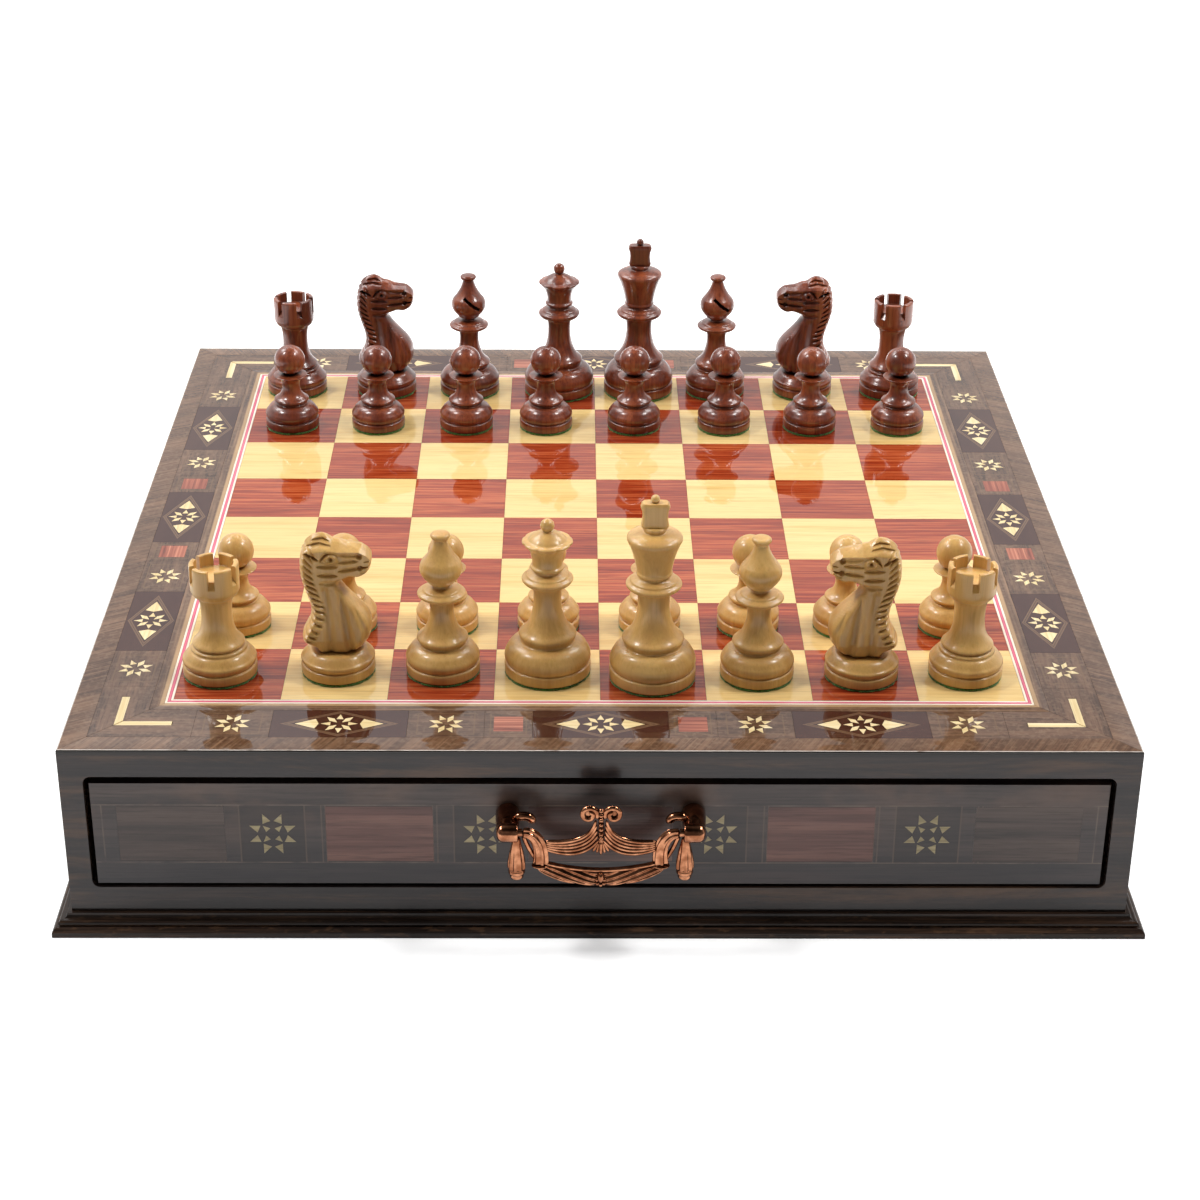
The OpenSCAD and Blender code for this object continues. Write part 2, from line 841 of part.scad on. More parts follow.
module rook(turn) {
    r = officer_d / 2;
    k = (rook_h - felt_t) / (47.5 - felt_t);
    flat = felt_t + (42.6 - felt_t) * k;
    slot_low = felt_t + (39.8 - felt_t) * k;
    rotate([0, 0, turn]) difference() {
        turned(concat(
            foot(r, 4.6, 11.2, 11),
            [[10.7, 11.6], [10.8, 12.2], [10.1, 12.8], [9.5, 12.9]],
            [[9.5, 13.3], [10.1, 13.6], [10.1, 14.3]],
            bend([9.6, 14.9], [6.1, 18], [5.9, 25], 6),
            bend([5.9, 25], [5.8, 31], [6.9, 33.6], 4),
            [[8.3, 34.6], [9.4, 36.6], [9.5, 47], [9.1, 47.5]],
            [[7.7, 47.5], [7.5, 47.1], [7.5, 42.6], [0, 43.2]]
        ), 47.5, rook_h);
        for (a = [0:60:300]) {
            rotate([0, 0, a]) translate([-1.2, 6.7, slot_low]) cube([2.4, 4, rook_h]);
        }
    }
    felt(officer_d);
}

module bishop(turn) {
    r = officer_d / 2;
    k = (bishop_h - felt_t) / (59.5 - felt_t);
    rotate([0, 0, turn]) difference() {
        turned(concat(
            foot(r, 4.6, 12.6, 8.9),
            [[8.8, 13.4], [9.8, 14.6], [10, 15.4], [9.4, 16.1]],
            bend([9.4, 16.1], [5.2, 19], [4.5, 27], 6),
            bend([4.5, 27], [4.4, 31.4], [5.4, 32.2], 3),
            [[8.6, 33], [9.4, 33.8], [9.2, 34.6], [7.4, 35.3], [7.1, 36.1]],
            [[3.4, 36.9], [3.4, 37.9], [5, 38.7], [5.3, 39.4]],
            bend([5.3, 39.4], [9.9, 43.6], [7.2, 47.8], 6),
            bend([7.2, 47.8], [3.4, 52.2], [2.6, 56.6], 5),
            [[3.7, 57.6], [3.9, 58.4], [3.2, 59.2], [0, 59.5]]
        ), 59.5, bishop_h);
        translate([-2.2, 0, felt_t + (48.6 - felt_t) * k]) rotate([0, 38, 0])
            translate([0, -14, 0]) cube([9, 12.4, 1.3]);
    }
    felt(officer_d);
}

module queen() {
    r = royal_d / 2;
    k = (queen_h - felt_t) / (65.3 - felt_t);
    difference() {
        turned(concat(
            foot(r, 5, 14.2, 10.6),
            [[10.4, 15], [11, 16.2], [11.2, 17.2], [10.6, 18]],
            bend([10.6, 18], [6.4, 21], [5.5, 29], 6),
            bend([5.5, 29], [5, 36.4], [6.2, 37.6], 4),
            [[8.9, 38.8], [9.9, 40], [9.8, 40.9], [8.3, 41.6], [8, 42.3], [6.6, 42.8]],
            [[5.3, 43.4], [5.3, 44.4], [6.6, 45], [6.6, 45.8], [5.8, 46.4]],
            bend([5.8, 46.4], [5.4, 52.4], [9.5, 55.4], 6),
            [[9.8, 56], [9.2, 56.5], [7.4, 56.8]],
            bend([7.4, 56.8], [5.6, 59], [1.8, 60.2], 4),
            arc(0, 62.6, 2.7, -50, 90, 7)
        ), 65.3, queen_h);
        for (a = [22.5:45:337.5]) {
            rotate([0, 0, a]) translate([10.6, 0, felt_t + (52 - felt_t) * k]) cylinder(r = 1.4, h = 6 * k);
        }
    }
    felt(royal_d);
}

module king() {
    r = royal_d / 2;
    k = (king_h - felt_t) / (77.6 - felt_t);
    foot_z = felt_t + (63 - felt_t) * k;
    cap_z = felt_t + (74.6 - felt_t) * k;
    mid_z = (foot_z + cap_z) / 2;
    turned(concat(
        foot(r, 5.2, 15, 11.2),
        [[11, 15.8], [11.8, 17], [12, 18], [11.3, 18.8]],
        bend([11.3, 18.8], [7, 22], [6.1, 31], 6),
        bend([6.1, 31], [5.9, 37.6], [7, 38.6], 4),
        [[9.9, 39.4], [10.8, 40.4], [10.7, 41.3], [9.2, 42], [9, 42.8], [7, 43.4]],
        [[6.2, 43.9], [6.2, 44.7], [7, 45.2], [7, 46]],
        bend([6.7, 46.4], [7.6, 53], [10.1, 58.4], 5),
        [[10.6, 59.4], [10.5, 60.4]],
        bend([10.5, 60.4], [9.6, 62], [4.4, 62.6], 4),
        [[4.2, 63], [4.6, 63.8], [4.4, 64.8], [0, 65]]
    ), 77.6, king_h);
    translate([0, 2.8, 0]) rotate([90, 0, 0]) linear_extrude(5.6) polygon(concat(
        [[-4.4, foot_z + 1], [4.4, foot_z + 1]],
        bend([5.3, foot_z + 2.4], [4.5, mid_z + 0.6], [5.6, cap_z - 1.6], 4),
        [[4.9, cap_z], [-4.9, cap_z]],
        bend([-5.6, cap_z - 1.6], [-4.5, mid_z + 0.6], [-5.3, foot_z + 2.4], 4)
    ));
    translate([0, 0, king_h - 3.4]) rotate_extrude()
        polygon(concat([[0, 0]], arc(0, 1.7, 1.7, -60, 90, 7)));
    felt(royal_d);
}

// side view of the horse, facing +X; the mane runs down the back as a row of teeth
mane_path = concat(
    bend([-10.8, 53], [-13.6, 46], [-12.4, 40], 6),
    bend([-12.4, 40], [-10.2, 33], [-9.4, 27.4], 6),
    bend([-9.4, 27.4], [-10, 22], [-13.4, 18.6], 5)
);

function teeth(path) = [
    for (i = [0:len(path) - 1]) path[i] + [i % 2 == 0 ? 0 : 0.9, 0]
];

horse_side = concat(
    [[-7, 58.4], [-4.2, 59.4], [-1.8, 59.2], [-0.4, 57.2]],
    [[2.3, 56.6], [4.8, 55.6], [7.8, 54.8], [10.2, 55.2]],
    bend([10.2, 55.2], [14.2, 54], [14, 49.4], 5),
    bend([14, 46.4], [13, 43.4], [9.8, 42.3], 4),
    [[7.4, 42.8], [4.4, 42], [2.2, 41]],
    bend([2.4, 39.6], [4.2, 35.4], [9, 32], 4),
    bend([9, 32], [13.4, 28.6], [12.8, 25.6], 4),
    bend([12.8, 25.6], [12.4, 18], [9.6, 13.2], 4),
    [[9.2, 10.6], [-9.6, 10.6], [-10.4, 14.4], [-13, 16.8]],
    [for (i = [len(mane_path) - 1:-1:0]) teeth(mane_path)[i]],
    [[-10.4, 55.4], [-9.2, 57.2]]
);

// front view of the horse, wide at the chest and narrow at the poll
horse_front = concat(
    [[-8.8, 10.6], [8.8, 10.6]],
    bend([8.8, 10.6], [9, 25], [6.8, 33], 5),
    bend([6.8, 33], [5.4, 40], [6, 47], 4),
    bend([6, 47], [5.6, 55], [3.6, 59.6], 4),
    mirrored(concat(
        bend([8.8, 10.6], [9, 25], [6.8, 33], 5),
        bend([6.8, 33], [5.4, 40], [6, 47], 4),
        bend([6, 47], [5.6, 55], [3.6, 59.6], 4)
    ))
);

module knight(turn) {
    r = officer_d / 2;
    k = (knight_h - felt_t) / (59.5 - felt_t);
    rotate([0, 0, turn]) {
        turned(concat(foot(r, 4.6, 11, 11.4), [[10.6, 11.6], [0, 12]]), 59.5, knight_h);
        translate([0, 0, felt_t * (1 - k)]) scale([1, 1, k]) difference() {
            intersection() {
                rotate([90, 0, 0]) translate([0, 0, -10]) linear_extrude(20) polygon(horse_side);
                rotate([90, 0, 90]) translate([0, 0, -16]) linear_extrude(32) polygon(horse_front);
            }
            translate([11, 0, 45.6]) cube([8, 14, 0.8], center = true);
            translate([-4, 0, 58]) cube([12, 1.6, 4], center = true);
            for (s = [-1, 1]) {
                translate([1, s * 5.6, 50.6]) rotate([90, 0, 0]) cylinder(r = 1, h = 1.6, center = true);
                translate([11.6, s * 4.6, 50]) rotate([90, 0, 0]) cylinder(r = 0.7, h = 2, center = true);
            }
        }
    }
    felt(officer_d);
}

module white_rook_a() {
    color(boxwood) on_square(0, 0) rook(0);
}

module white_knight_b() {
    color(boxwood) on_square(1, 0) knight(0);
}

module white_bishop_c() {
    color(boxwood) on_square(2, 0) bishop(180);
}

module white_queen() {
    color(boxwood) on_square(3, 0) queen();
}

module white_king() {
    color(boxwood) on_square(4, 0) king();
}

module white_bishop_f() {
    color(boxwood) on_square(5, 0) bishop(180);
}

module white_knight_g() {
    color(boxwood) on_square(6, 0) knight(180);
}

module white_rook_h() {
    color(boxwood) on_square(7, 0) rook(0);
}

module white_pawn_a() {
    color(boxwood) on_square(0, 1) pawn();
}

module white_pawn_b() {
    color(boxwood) on_square(1, 1) pawn();
}

module white_pawn_c() {
    color(boxwood) on_square(2, 1) pawn();
}

module white_pawn_d() {
    color(boxwood) on_square(3, 1) pawn();
}

module white_pawn_e() {
    color(boxwood) on_square(4, 1) pawn();
}

module white_pawn_f() {
    color(boxwood) on_square(5, 1) pawn();
}

module white_pawn_g() {
    color(boxwood) on_square(6, 1) pawn();
}

module white_pawn_h() {
    color(boxwood) on_square(7, 1) pawn();
}

module dark_rook_a() {
    color(rosewood) on_square(0, 7) rook(22);
}

module dark_knight_b() {
    color(rosewood) on_square(1, 7) knight(0);
}

module dark_bishop_c() {
    color(rosewood) on_square(2, 7) bishop(0);
}

module dark_queen() {
    color(rosewood) on_square(3, 7) queen();
}

module dark_king() {
    color(rosewood) on_square(4, 7) king();
}

module dark_bishop_f() {
    color(rosewood) on_square(5, 7) bishop(0);
}

module dark_knight_g() {
    color(rosewood) on_square(6, 7) knight(180);
}

module dark_rook_h() {
    color(rosewood) on_square(7, 7) rook(22);
}

module dark_pawn_a() {
    color(rosewood) on_square(0, 6) pawn();
}

module dark_pawn_b() {
    color(rosewood) on_square(1, 6) pawn();
}

module dark_pawn_c() {
    color(rosewood) on_square(2, 6) pawn();
}

module dark_pawn_d() {
    color(rosewood) on_square(3, 6) pawn();
}

module dark_pawn_e() {
    color(rosewood) on_square(4, 6) pawn();
}

module dark_pawn_f() {
    color(rosewood) on_square(5, 6) pawn();
}

module dark_pawn_g() {
    color(rosewood) on_square(6, 6) pawn();
}

module dark_pawn_h() {
    color(rosewood) on_square(7, 6) pawn();
}

// ---------------------------------------------------------------- nodes

base_panel();
side_walls();
front_frame();
rear_frame();
partition();
drawer_guides();
top_core();
light_squares();
dark_squares();
stringing();
border_strips();
border_tiles();
border_inlays();
base_moulding();
front_drawer_face();
front_drawer_inlay();
front_drawer_walls();
front_drawer_bottom();
front_drawer_dividers();
front_handle_posts();
front_handle_bail();
rear_drawer_face();
rear_drawer_inlay();
rear_drawer_walls();
rear_drawer_bottom();
rear_drawer_dividers();
rear_handle_posts();
rear_handle_bail();
white_rook_a();
white_knight_b();
white_bishop_c();
white_queen();
white_king();
white_bishop_f();
white_knight_g();
white_rook_h();
white_pawn_a();
white_pawn_b();
white_pawn_c();
white_pawn_d();
white_pawn_e();
white_pawn_f();
white_pawn_g();
white_pawn_h();
dark_rook_a();
dark_knight_b();
dark_bishop_c();
dark_queen();
dark_king();
dark_bishop_f();
dark_knight_g();
dark_rook_h();
dark_pawn_a();
dark_pawn_b();
dark_pawn_c();
dark_pawn_d();
dark_pawn_e();
dark_pawn_f();
dark_pawn_g();
dark_pawn_h();
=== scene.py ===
import math

import bpy
import numpy as np
from mathutils import Matrix, Vector


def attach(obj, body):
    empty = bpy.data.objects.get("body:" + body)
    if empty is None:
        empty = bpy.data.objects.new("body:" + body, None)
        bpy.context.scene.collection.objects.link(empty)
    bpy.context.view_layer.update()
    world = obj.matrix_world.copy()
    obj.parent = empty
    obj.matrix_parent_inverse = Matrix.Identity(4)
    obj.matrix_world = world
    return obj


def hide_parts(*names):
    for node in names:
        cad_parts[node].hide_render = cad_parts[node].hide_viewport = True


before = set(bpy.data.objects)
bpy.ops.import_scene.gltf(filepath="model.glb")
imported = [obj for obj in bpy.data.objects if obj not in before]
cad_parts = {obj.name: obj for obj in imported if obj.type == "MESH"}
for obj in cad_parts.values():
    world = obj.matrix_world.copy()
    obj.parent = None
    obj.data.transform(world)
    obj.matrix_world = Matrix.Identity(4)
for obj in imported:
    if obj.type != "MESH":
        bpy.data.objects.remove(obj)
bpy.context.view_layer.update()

# ------------------------ carcass
# Base panel, partition, guides and top board, all of birch plywood.
# They are glued up inside the walls and left without lacquer, since they
# only show when a drawer is out.

MM = 0.001
PLY = 1.4


def srgb(r, g, b):
    """A colour written as 0-255 display values, turned into linear light."""
    v = np.array([r, g, b]) / 255
    linear = np.where(v <= 0.04045, v / 12.92, ((v + 0.055) / 1.055) ** 2.4)
    return (*[float(x) for x in linear], 1.0)


class Shades:
    """Shader nodes of one tree: each call adds a node and gives back its output."""

    def __init__(self, tree):
        self.tree = tree

    def put(self, socket, value):
        if isinstance(value, bpy.types.NodeSocket):
            self.tree.links.new(value, socket)
        else:
            socket.default_value = value

    def node(self, kind, inputs, output=0, **settings):
        n = self.tree.nodes.new("ShaderNode" + kind)
        for name, setting in settings.items():
            setattr(n, name, setting)
        for name, value in inputs.items():
            self.put(n.inputs[name], value)
        return n.outputs[output]

    def math(self, operation, a, b=0.0):
        return self.node("Math", {0: a, 1: b}, operation=operation)

    def times(self, a, b):
        return self.math("MULTIPLY", a, b)

    def plus(self, a, b):
        return self.math("ADD", a, b)

    def minus(self, a, b):
        return self.math("SUBTRACT", a, b)

    def most(self, a, b):
        return self.math("MAXIMUM", a, b)

    def apart(self, a, b):
        return self.math("ABSOLUTE", self.minus(a, b))

    def vector(self, operation, a, b):
        return self.node("VectorMath", {0: a, 1: b}, operation=operation)

    def joined(self, x, y, z):
        return self.node("CombineXYZ", {0: x, 1: y, 2: z})

    def axes(self, place):
        n = self.tree.nodes.new("ShaderNodeSeparateXYZ")
        self.put(n.inputs[0], place)
        return n.outputs[:]

    def spread(self, value, low, high, at_low=0.0, at_high=1.0):
        """Value taken from low..high to at_low..at_high along a smooth step."""
        return self.node("MapRange", {
            "Value": value, "From Min": low, "From Max": high, "To Min": at_low, "To Max": at_high,
        }, interpolation_type="SMOOTHSTEP")


class Recipe(Shades):
    """A finish being mixed on the way to its Principled surface."""

    def __init__(self, name, roughness, coat=0.0, coat_roughness=0.03, metallic=0.0, under=0.5):
        self.material = bpy.data.materials.new(name)
        self.material.use_nodes = True
        super().__init__(self.material.node_tree)
        self.surface = self.tree.nodes["Principled BSDF"]
        for socket, value in {
            "Roughness": roughness, "Coat Weight": coat, "Coat Roughness": coat_roughness,
            "Metallic": metallic, "Specular IOR Level": under,
        }.items():
            self.surface.inputs[socket].default_value = value
        self.place = self.tree.nodes.new("ShaderNodeTexCoord").outputs["Object"]

    def noise(self, stretch, place=None, detail=4.0, rough=0.55, warp=0.0):
        """Noise whose cells are 1/stretch metres long, one number or one to an axis."""
        stretch = stretch if isinstance(stretch, tuple) else (stretch,) * 3
        return self.node("TexNoise", {
            "Vector": self.vector("MULTIPLY", place or self.place, stretch),
            "Scale": 1.0, "Detail": detail, "Roughness": rough, "Distortion": warp,
        }, "Fac")

    def ramp(self, factor, *tones):
        n = self.tree.nodes.new("ShaderNodeValToRGB")
        self.put(n.inputs[0], factor)
        stops = n.color_ramp.elements
        for k, (at, tone) in enumerate(tones):
            stop = stops[k] if k < 2 else stops.new(at)
            stop.position = at
            stop.color = srgb(*tone)
        return n.outputs["Color"]

    def mix(self, factor, a, b):
        return self.node("Mix", {0: factor, 6: a, 7: b}, 2, data_type="RGBA")

    def tint(self, colour, where, strength, tone):
        """The colour, taken towards a tone by the strength where the mask is 1."""
        return self.mix(self.times(where, strength), colour, srgb(*tone))

    def finish(self, colour, height=None, depth=0.0, roughness=None):
        """Colour, and a relief of depth metres, go onto the surface."""
        self.put(self.surface.inputs["Base Color"], colour)
        if roughness is not None:
            self.put(self.surface.inputs["Roughness"], roughness)
        if height is not None:
            bump = self.node("Bump", {"Strength": 1.0, "Distance": depth, "Height": height})
            self.put(self.surface.inputs["Normal"], bump)
        return self.material


GRAIN = {"x": (7, 95, 95), "y": (95, 7, 95), "z": (95, 95, 9)}
STREAKS = {"x": (22, 850, 850), "y": (850, 22, 850), "z": (850, 850, 22)}
PORES = {"x": (70, 1500, 1500), "y": (1500, 70, 1500), "z": (1300, 1300, 70)}


def wood(recipe, along, tones, pore_dark=0.25, place=None, warp=0.6, fine=0.5, middle=0.5):
    """Colour and relief of sawn wood: drawn-out noise, broad and fine together,
    runs through the tones, and a still finer one darkens the pores."""
    broad = recipe.times(recipe.noise(GRAIN[along], place, warp=warp), 1 - fine)
    streak = recipe.times(recipe.noise(STREAKS[along], place, detail=3), fine)
    figure = recipe.spread(recipe.plus(broad, streak), 0.34, 0.66)
    pores = recipe.spread(recipe.noise(PORES[along], place, detail=2), 0.5, 0.72)
    stops = (0, 1) if len(tones) == 2 else (0, middle, 1)
    body = recipe.ramp(figure, *zip(stops, tones))
    return recipe.tint(body, pores, pore_dark, (0, 0, 0)), recipe.minus(1.0, pores)


def paint(material, *names):
    """Gives CAD nodes a finish in place of their own."""
    for name in names:
        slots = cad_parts[name].data.materials
        slots.clear()
        slots.append(material)


def plywood():
    """The plies darken by the sine of 2 pi height / PLY."""
    r = Recipe("birch_plywood", roughness=0.6)
    body, relief = wood(r, "x", ((176, 140, 98), (200, 167, 122), (216, 186, 142)), 0.2)
    ply = r.math("SINE", r.times(r.axes(r.place)[2], 2 * math.pi / (PLY * MM)))
    return r.finish(r.tint(body, r.spread(ply, 0.1, 0.9), 0.16, (120, 84, 52)), relief, 0.00006)


birch = plywood()
paint(birch, "base_panel", "partition", "drawer_guides", "top_core")

# ------------------------ walls
# Four walnut walls under thick gloss lacquer, dark and a little grey.
# The front and rear ones are one board each, routed through for the drawer.

WALL_EASE = 0.5
WALL_FIGURE = {"x": (8, 60, 80), "y": (60, 8, 80)}


def lacquered_walnut(name, along, seed):
    """Painted shade lies darkest in a line under the top and along the moulding."""
    r = Recipe(name, roughness=0.5, coat=0.75, coat_roughness=0.2, under=0.05)
    place = r.vector("ADD", r.place, (seed, 0, 0))
    body, relief = wood(r, along, ((32, 26, 26), (46, 38, 37), (66, 53, 48)), 0.3, place, fine=0.25)
    patch = r.spread(r.noise(WALL_FIGURE[along], place, detail=8, rough=0.66, warp=0.5), 0.47, 0.68)
    warm = r.tint(body, patch, 0.42, (122, 88, 62))
    # painted shade: darker in a line under the top and just above the moulding
    up = r.axes(r.place)[2]
    dark = r.most(r.spread(up, 75.2 * MM, 76.4 * MM), r.minus(1.0, r.spread(up, 8 * MM, 14 * MM)))
    return r.finish(r.tint(warm, dark, 0.75, (20, 15, 13)), relief, 0.00003)


def eased(obj):
    """Breaks the sharp edges of a CAD solid; its mesh stays as it is."""
    weld = obj.modifiers.new("weld", "WELD")
    weld.merge_threshold = 0.00001
    bevel = obj.modifiers.new("ease", "BEVEL")
    bevel.width = WALL_EASE * MM
    bevel.segments = 2
    bevel.limit_method = "ANGLE"
    bevel.angle_limit = math.radians(50)
    bevel.harden_normals = True


for wall, name, along, seed in (
    ("front_frame", "walnut_front", "x", 0.3),
    ("rear_frame", "walnut_rear", "x", 1.7),
    ("side_walls", "walnut_side", "y", 0.9),
):
    paint(lacquered_walnut(name, along, seed), wall)
    eased(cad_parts[wall])

# ------------------------ base moulding
# Four mitred lengths of walnut moulding round the foot of the walls:
# a plinth fillet, a quarter round, a bead, a cove and a narrow ledge.

HALF = 200.0
MITRE_GAP = 0.1
SECTION = np.array([7.0, 7.7])


def bend(p0, p1, p2, n):
    """Points of the quadratic curve from p0 to p2 drawn towards p1."""
    t = np.linspace(0, 1, n + 1)[:, None]
    return (1 - t) ** 2 * np.array(p0) + 2 * t * (1 - t) * np.array(p1) + t ** 2 * np.array(p2)


def arc(cx, cy, r, a0, a1, n):
    """Points of a circle of radius r from angle a0 to a1, in degrees."""
    a = np.radians(np.linspace(a0, a1, n + 1))
    return np.stack([cx + r * np.cos(a), cy + r * np.sin(a)], 1)


def turned_about(verts, angle):
    """Points (x, y, z) swung anticlockwise about the upright axis."""
    c, s = math.cos(angle), math.sin(angle)
    return verts @ np.array([[c, s, 0], [-s, c, 0], [0, 0, 1]])


def mitred(outline, half):
    """Four lengths whose section is the outline of (outwards, up) from half; each
    ends at (half + outwards - MITRE_GAP) either way, which is the mitre."""
    out, up = outline[:, 0] + half, outline[:, 1]
    n = len(out)
    ends = np.concatenate([np.stack([s * (out - MITRE_GAP), -out, up], 1) for s in (-1, 1)])
    verts, faces = [], []
    k = np.arange(n)
    near = (k + 1) % n
    for q in range(4):
        base = 2 * n * q
        verts.append(turned_about(ends, q * math.pi / 2))
        faces += (np.stack([k + n, near + n, near, k], 1) + base).tolist()
        faces += [(k + base).tolist(), (k[::-1] + n + base).tolist()]
    return np.concatenate(verts), faces


def piece(name, verts, faces, body, materials, slot, sharp=35, material_of=None):
    """A finished piece: vertices in millimetres in the object's frame."""
    mesh = bpy.data.meshes.new(name)
    mesh.from_pydata((np.asarray(verts) * MM).tolist(), [], faces)
    for m in materials:
        mesh.materials.append(m)
    if material_of is not None:
        mesh.polygons.foreach_set("material_index", material_of)
    mesh.shade_smooth()
    mesh.set_sharp_from_angle(angle=math.radians(sharp))
    mesh.validate()
    obj = bpy.data.objects.new(name, mesh)
    bpy.context.scene.collection.objects.link(obj)
    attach(obj, body)
    return obj


def side_grain(recipe):
    """Place measured along the nearest side, out from the middle, and up."""
    x, y, z = recipe.axes(recipe.place)
    far_x, far_y = recipe.math("ABSOLUTE", x), recipe.math("ABSOLUTE", y)
    on_x = recipe.math("GREATER_THAN", far_x, far_y)
    along = recipe.plus(recipe.times(on_x, y), recipe.times(recipe.minus(1.0, on_x), x))
    return along, recipe.most(far_x, far_y), z


def moulding_walnut():
    """Painted shade lies in the cove, above the bead."""
    r = Recipe("walnut_moulding", roughness=0.45, coat=0.45, coat_roughness=0.12, under=0.0)
    along, across, up = side_grain(r)
    place = r.joined(along, across, up)
    body, relief = wood(r, "x", ((38, 29, 25), (57, 43, 35), (92, 68, 53)), 0.4, place)
    fleck = r.spread(r.noise((150, 420, 420), place, detail=3), 0.56, 0.68)
    body = r.tint(body, fleck, 0.24, (124, 92, 66))
    # painted shade: darker from the bead up through the cove
    return r.finish(r.tint(body, r.spread(up, 3.4 * MM, 5 * MM), 0.55, (20, 15, 12)), relief, 0.00004)


outline = np.concatenate([
    [[0, 0], [1, 0]] * SECTION,
    arc(SECTION[0] * 0.7, SECTION[1] * 0.19, SECTION[0] * 0.3, 0, 90, 14),
    arc(SECTION[0] * 0.5, SECTION[1] * 0.6, SECTION[1] * 0.15, -90, 90, 14),
    bend([0.42, 0.75] * SECTION, [0.24, 0.77] * SECTION, [0.22, 0.93] * SECTION, 10),
    [[0.22, 1], [0, 1]] * SECTION,
])
moulding = piece("moulding", *mitred(outline, HALF), "case", [moulding_walnut()], "walnut")
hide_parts("base_moulding")

# ------------------------ playing squares
# Sawn veneer, pale maple and red padauk, laid with the grain from side to
# side and flooded with a mirror-gloss lacquer. No two squares match exactly.

SQUARE = 40.5


def glossed(name, haze, coat=1.0):
    """A veneer that shines by its lacquer alone."""
    return Recipe(name, roughness=0.5, coat=coat, coat_roughness=haze, under=0.0)


def square_veneer(name, tones, middle, pore_dark, spread, fine):
    """The wood's figure jumps at each square's edge, and its shade differs."""
    r = glossed(name, 0.012)
    cell = r.vector("SNAP", r.place, (SQUARE * MM, SQUARE * MM, 1))
    shuffled = r.vector("ADD", r.place, r.vector("MULTIPLY", cell, (31.0, 47.0, 0)))
    body, relief = wood(r, "x", tones, pore_dark, shuffled, 0.3, fine, middle)
    shade = r.node("TexWhiteNoise", {"Vector": cell}, "Value")
    return r.finish(r.tint(body, shade, spread, tones[0]), relief, 0.00002)


maple = ((218, 180, 112), (229, 196, 130), (234, 205, 141))
padauk = ((124, 36, 17), (160, 64, 32), (194, 100, 58))
paint(square_veneer("maple_square", maple, 0.35, 0.16, 0.25, 0.45), "light_squares")
paint(square_veneer("padauk_square", padauk, 0.45, 0.4, 0.3, 0.65), "dark_squares")

# ------------------------ stringing
# Three hairline strips round the squares: pale, crimson dyed, pale.

SQUARES_EDGE = 162.1
PALE_STRING, RED_STRING, RED_REACH = 1.0, 0.9, 0.62
STRING_MID = SQUARES_EDGE + PALE_STRING + RED_STRING / 2


def string_dye():
    """Red within RED_REACH of the middle strip's middle, pale outside it."""
    r = glossed("stringing_veneer", 0.012)
    along, across, up = side_grain(r)
    place = r.joined(along, across, up)
    pale, relief = wood(r, "x", ((232, 214, 192), (250, 240, 224)), 0.1, place)
    red, _ = wood(r, "x", ((204, 80, 108), (228, 120, 142)), 0.1, place)
    middle = r.math("LESS_THAN", r.apart(across, STRING_MID * MM), RED_REACH * MM)
    return r.finish(r.mix(middle, pale, red), relief, 0.00002)


paint(string_dye(), "stringing")

# ------------------------ border strips
# A narrow light walnut strip inside the marquetry, and a wide crossbanded
# one outside it, whose grain slants and whose outer arris is rubbed round.

INNER_STRIP, INNER_STRIP_W = 165.1, 5
OUTER_STRIP = 190.3
VENEER_LOW, BOARD_TOP = 77.2, 78.2
PALE_EDGE = (166.3, 167.1)


def mottled(recipe, body):
    """Breaks up a straight grain with fine pale flecks and slow darker patches."""
    fleck = recipe.spread(recipe.noise(520, detail=3), 0.45, 0.7)
    body = recipe.tint(body, fleck, 0.28, (150, 122, 98))
    patch = recipe.spread(recipe.noise(45, detail=4), 0.4, 0.68)
    return recipe.tint(body, patch, 0.3, (54, 36, 28))


def crossband(name, tones, slant):
    """Walnut whose grain leans by the slant, pale beside the stringing, with a painted highlight along the
    outer arris and painted shade on the side below it."""
    r = glossed(name, 0.02)
    along, across, up = side_grain(r)
    leaning = r.plus(along, r.times(across, slant))
    place = r.joined(leaning, r.minus(across, r.times(along, slant * 0.5)), up)
    body, relief = wood(r, "y" if slant else "x", tones, 0.35, place, warp=0.9)
    pale = r.minus(1.0, r.spread(across, PALE_EDGE[0] * MM, PALE_EDGE[1] * MM))
    body = r.tint(mottled(r, body), pale, 0.6, (206, 168, 122))
    # painted highlight along the outer arris, broken up by speckle
    speckle = r.spread(r.noise(160, detail=2), 0.2, 0.5)
    painted_highlight = r.times(r.spread(across, (HALF - 0.66) * MM, (HALF - 0.52) * MM), speckle)
    # painted shade on the outer side below the arris
    side = r.spread(across, (HALF - 0.34) * MM, (HALF - 0.2) * MM)
    body = r.mix(side, r.tint(body, painted_highlight, 0.85, (232, 222, 212)), srgb(30, 20, 16))
    return r.finish(body, relief, 0.00002)


def strip_piece(name, inside, width, arris, finish):
    """A strip of veneer from inside outwards, its outer top corner a quarter circle."""
    outline = np.concatenate([[[0, VENEER_LOW], [width, VENEER_LOW]],
                              arc(width - arris, BOARD_TOP - arris, arris, 0, 90, 6), [[0, BOARD_TOP]]])
    strips = piece(name, *mitred(outline, inside), "case", [finish], "brown_walnut")
    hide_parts("border_strips")


light_walnut = crossband("light_walnut_strip", ((84, 60, 46), (110, 82, 62), (140, 108, 82)), 0)
slanting_walnut = crossband("crossbanded_walnut", ((80, 55, 41), (104, 76, 57), (128, 96, 73)), 0.55)
strip_piece("inner_strips", INNER_STRIP, INNER_STRIP_W, 0.02, light_walnut)
strip_piece("outer_strips", OUTER_STRIP, HALF - OUTER_STRIP, 0.7, slanting_walnut)

# ------------------------ border tiles
# Dark walnut and ebonised tiles laid end to end round the board. Fine
# scratched lines frame the bars, and a line draws a rhomb round each star.

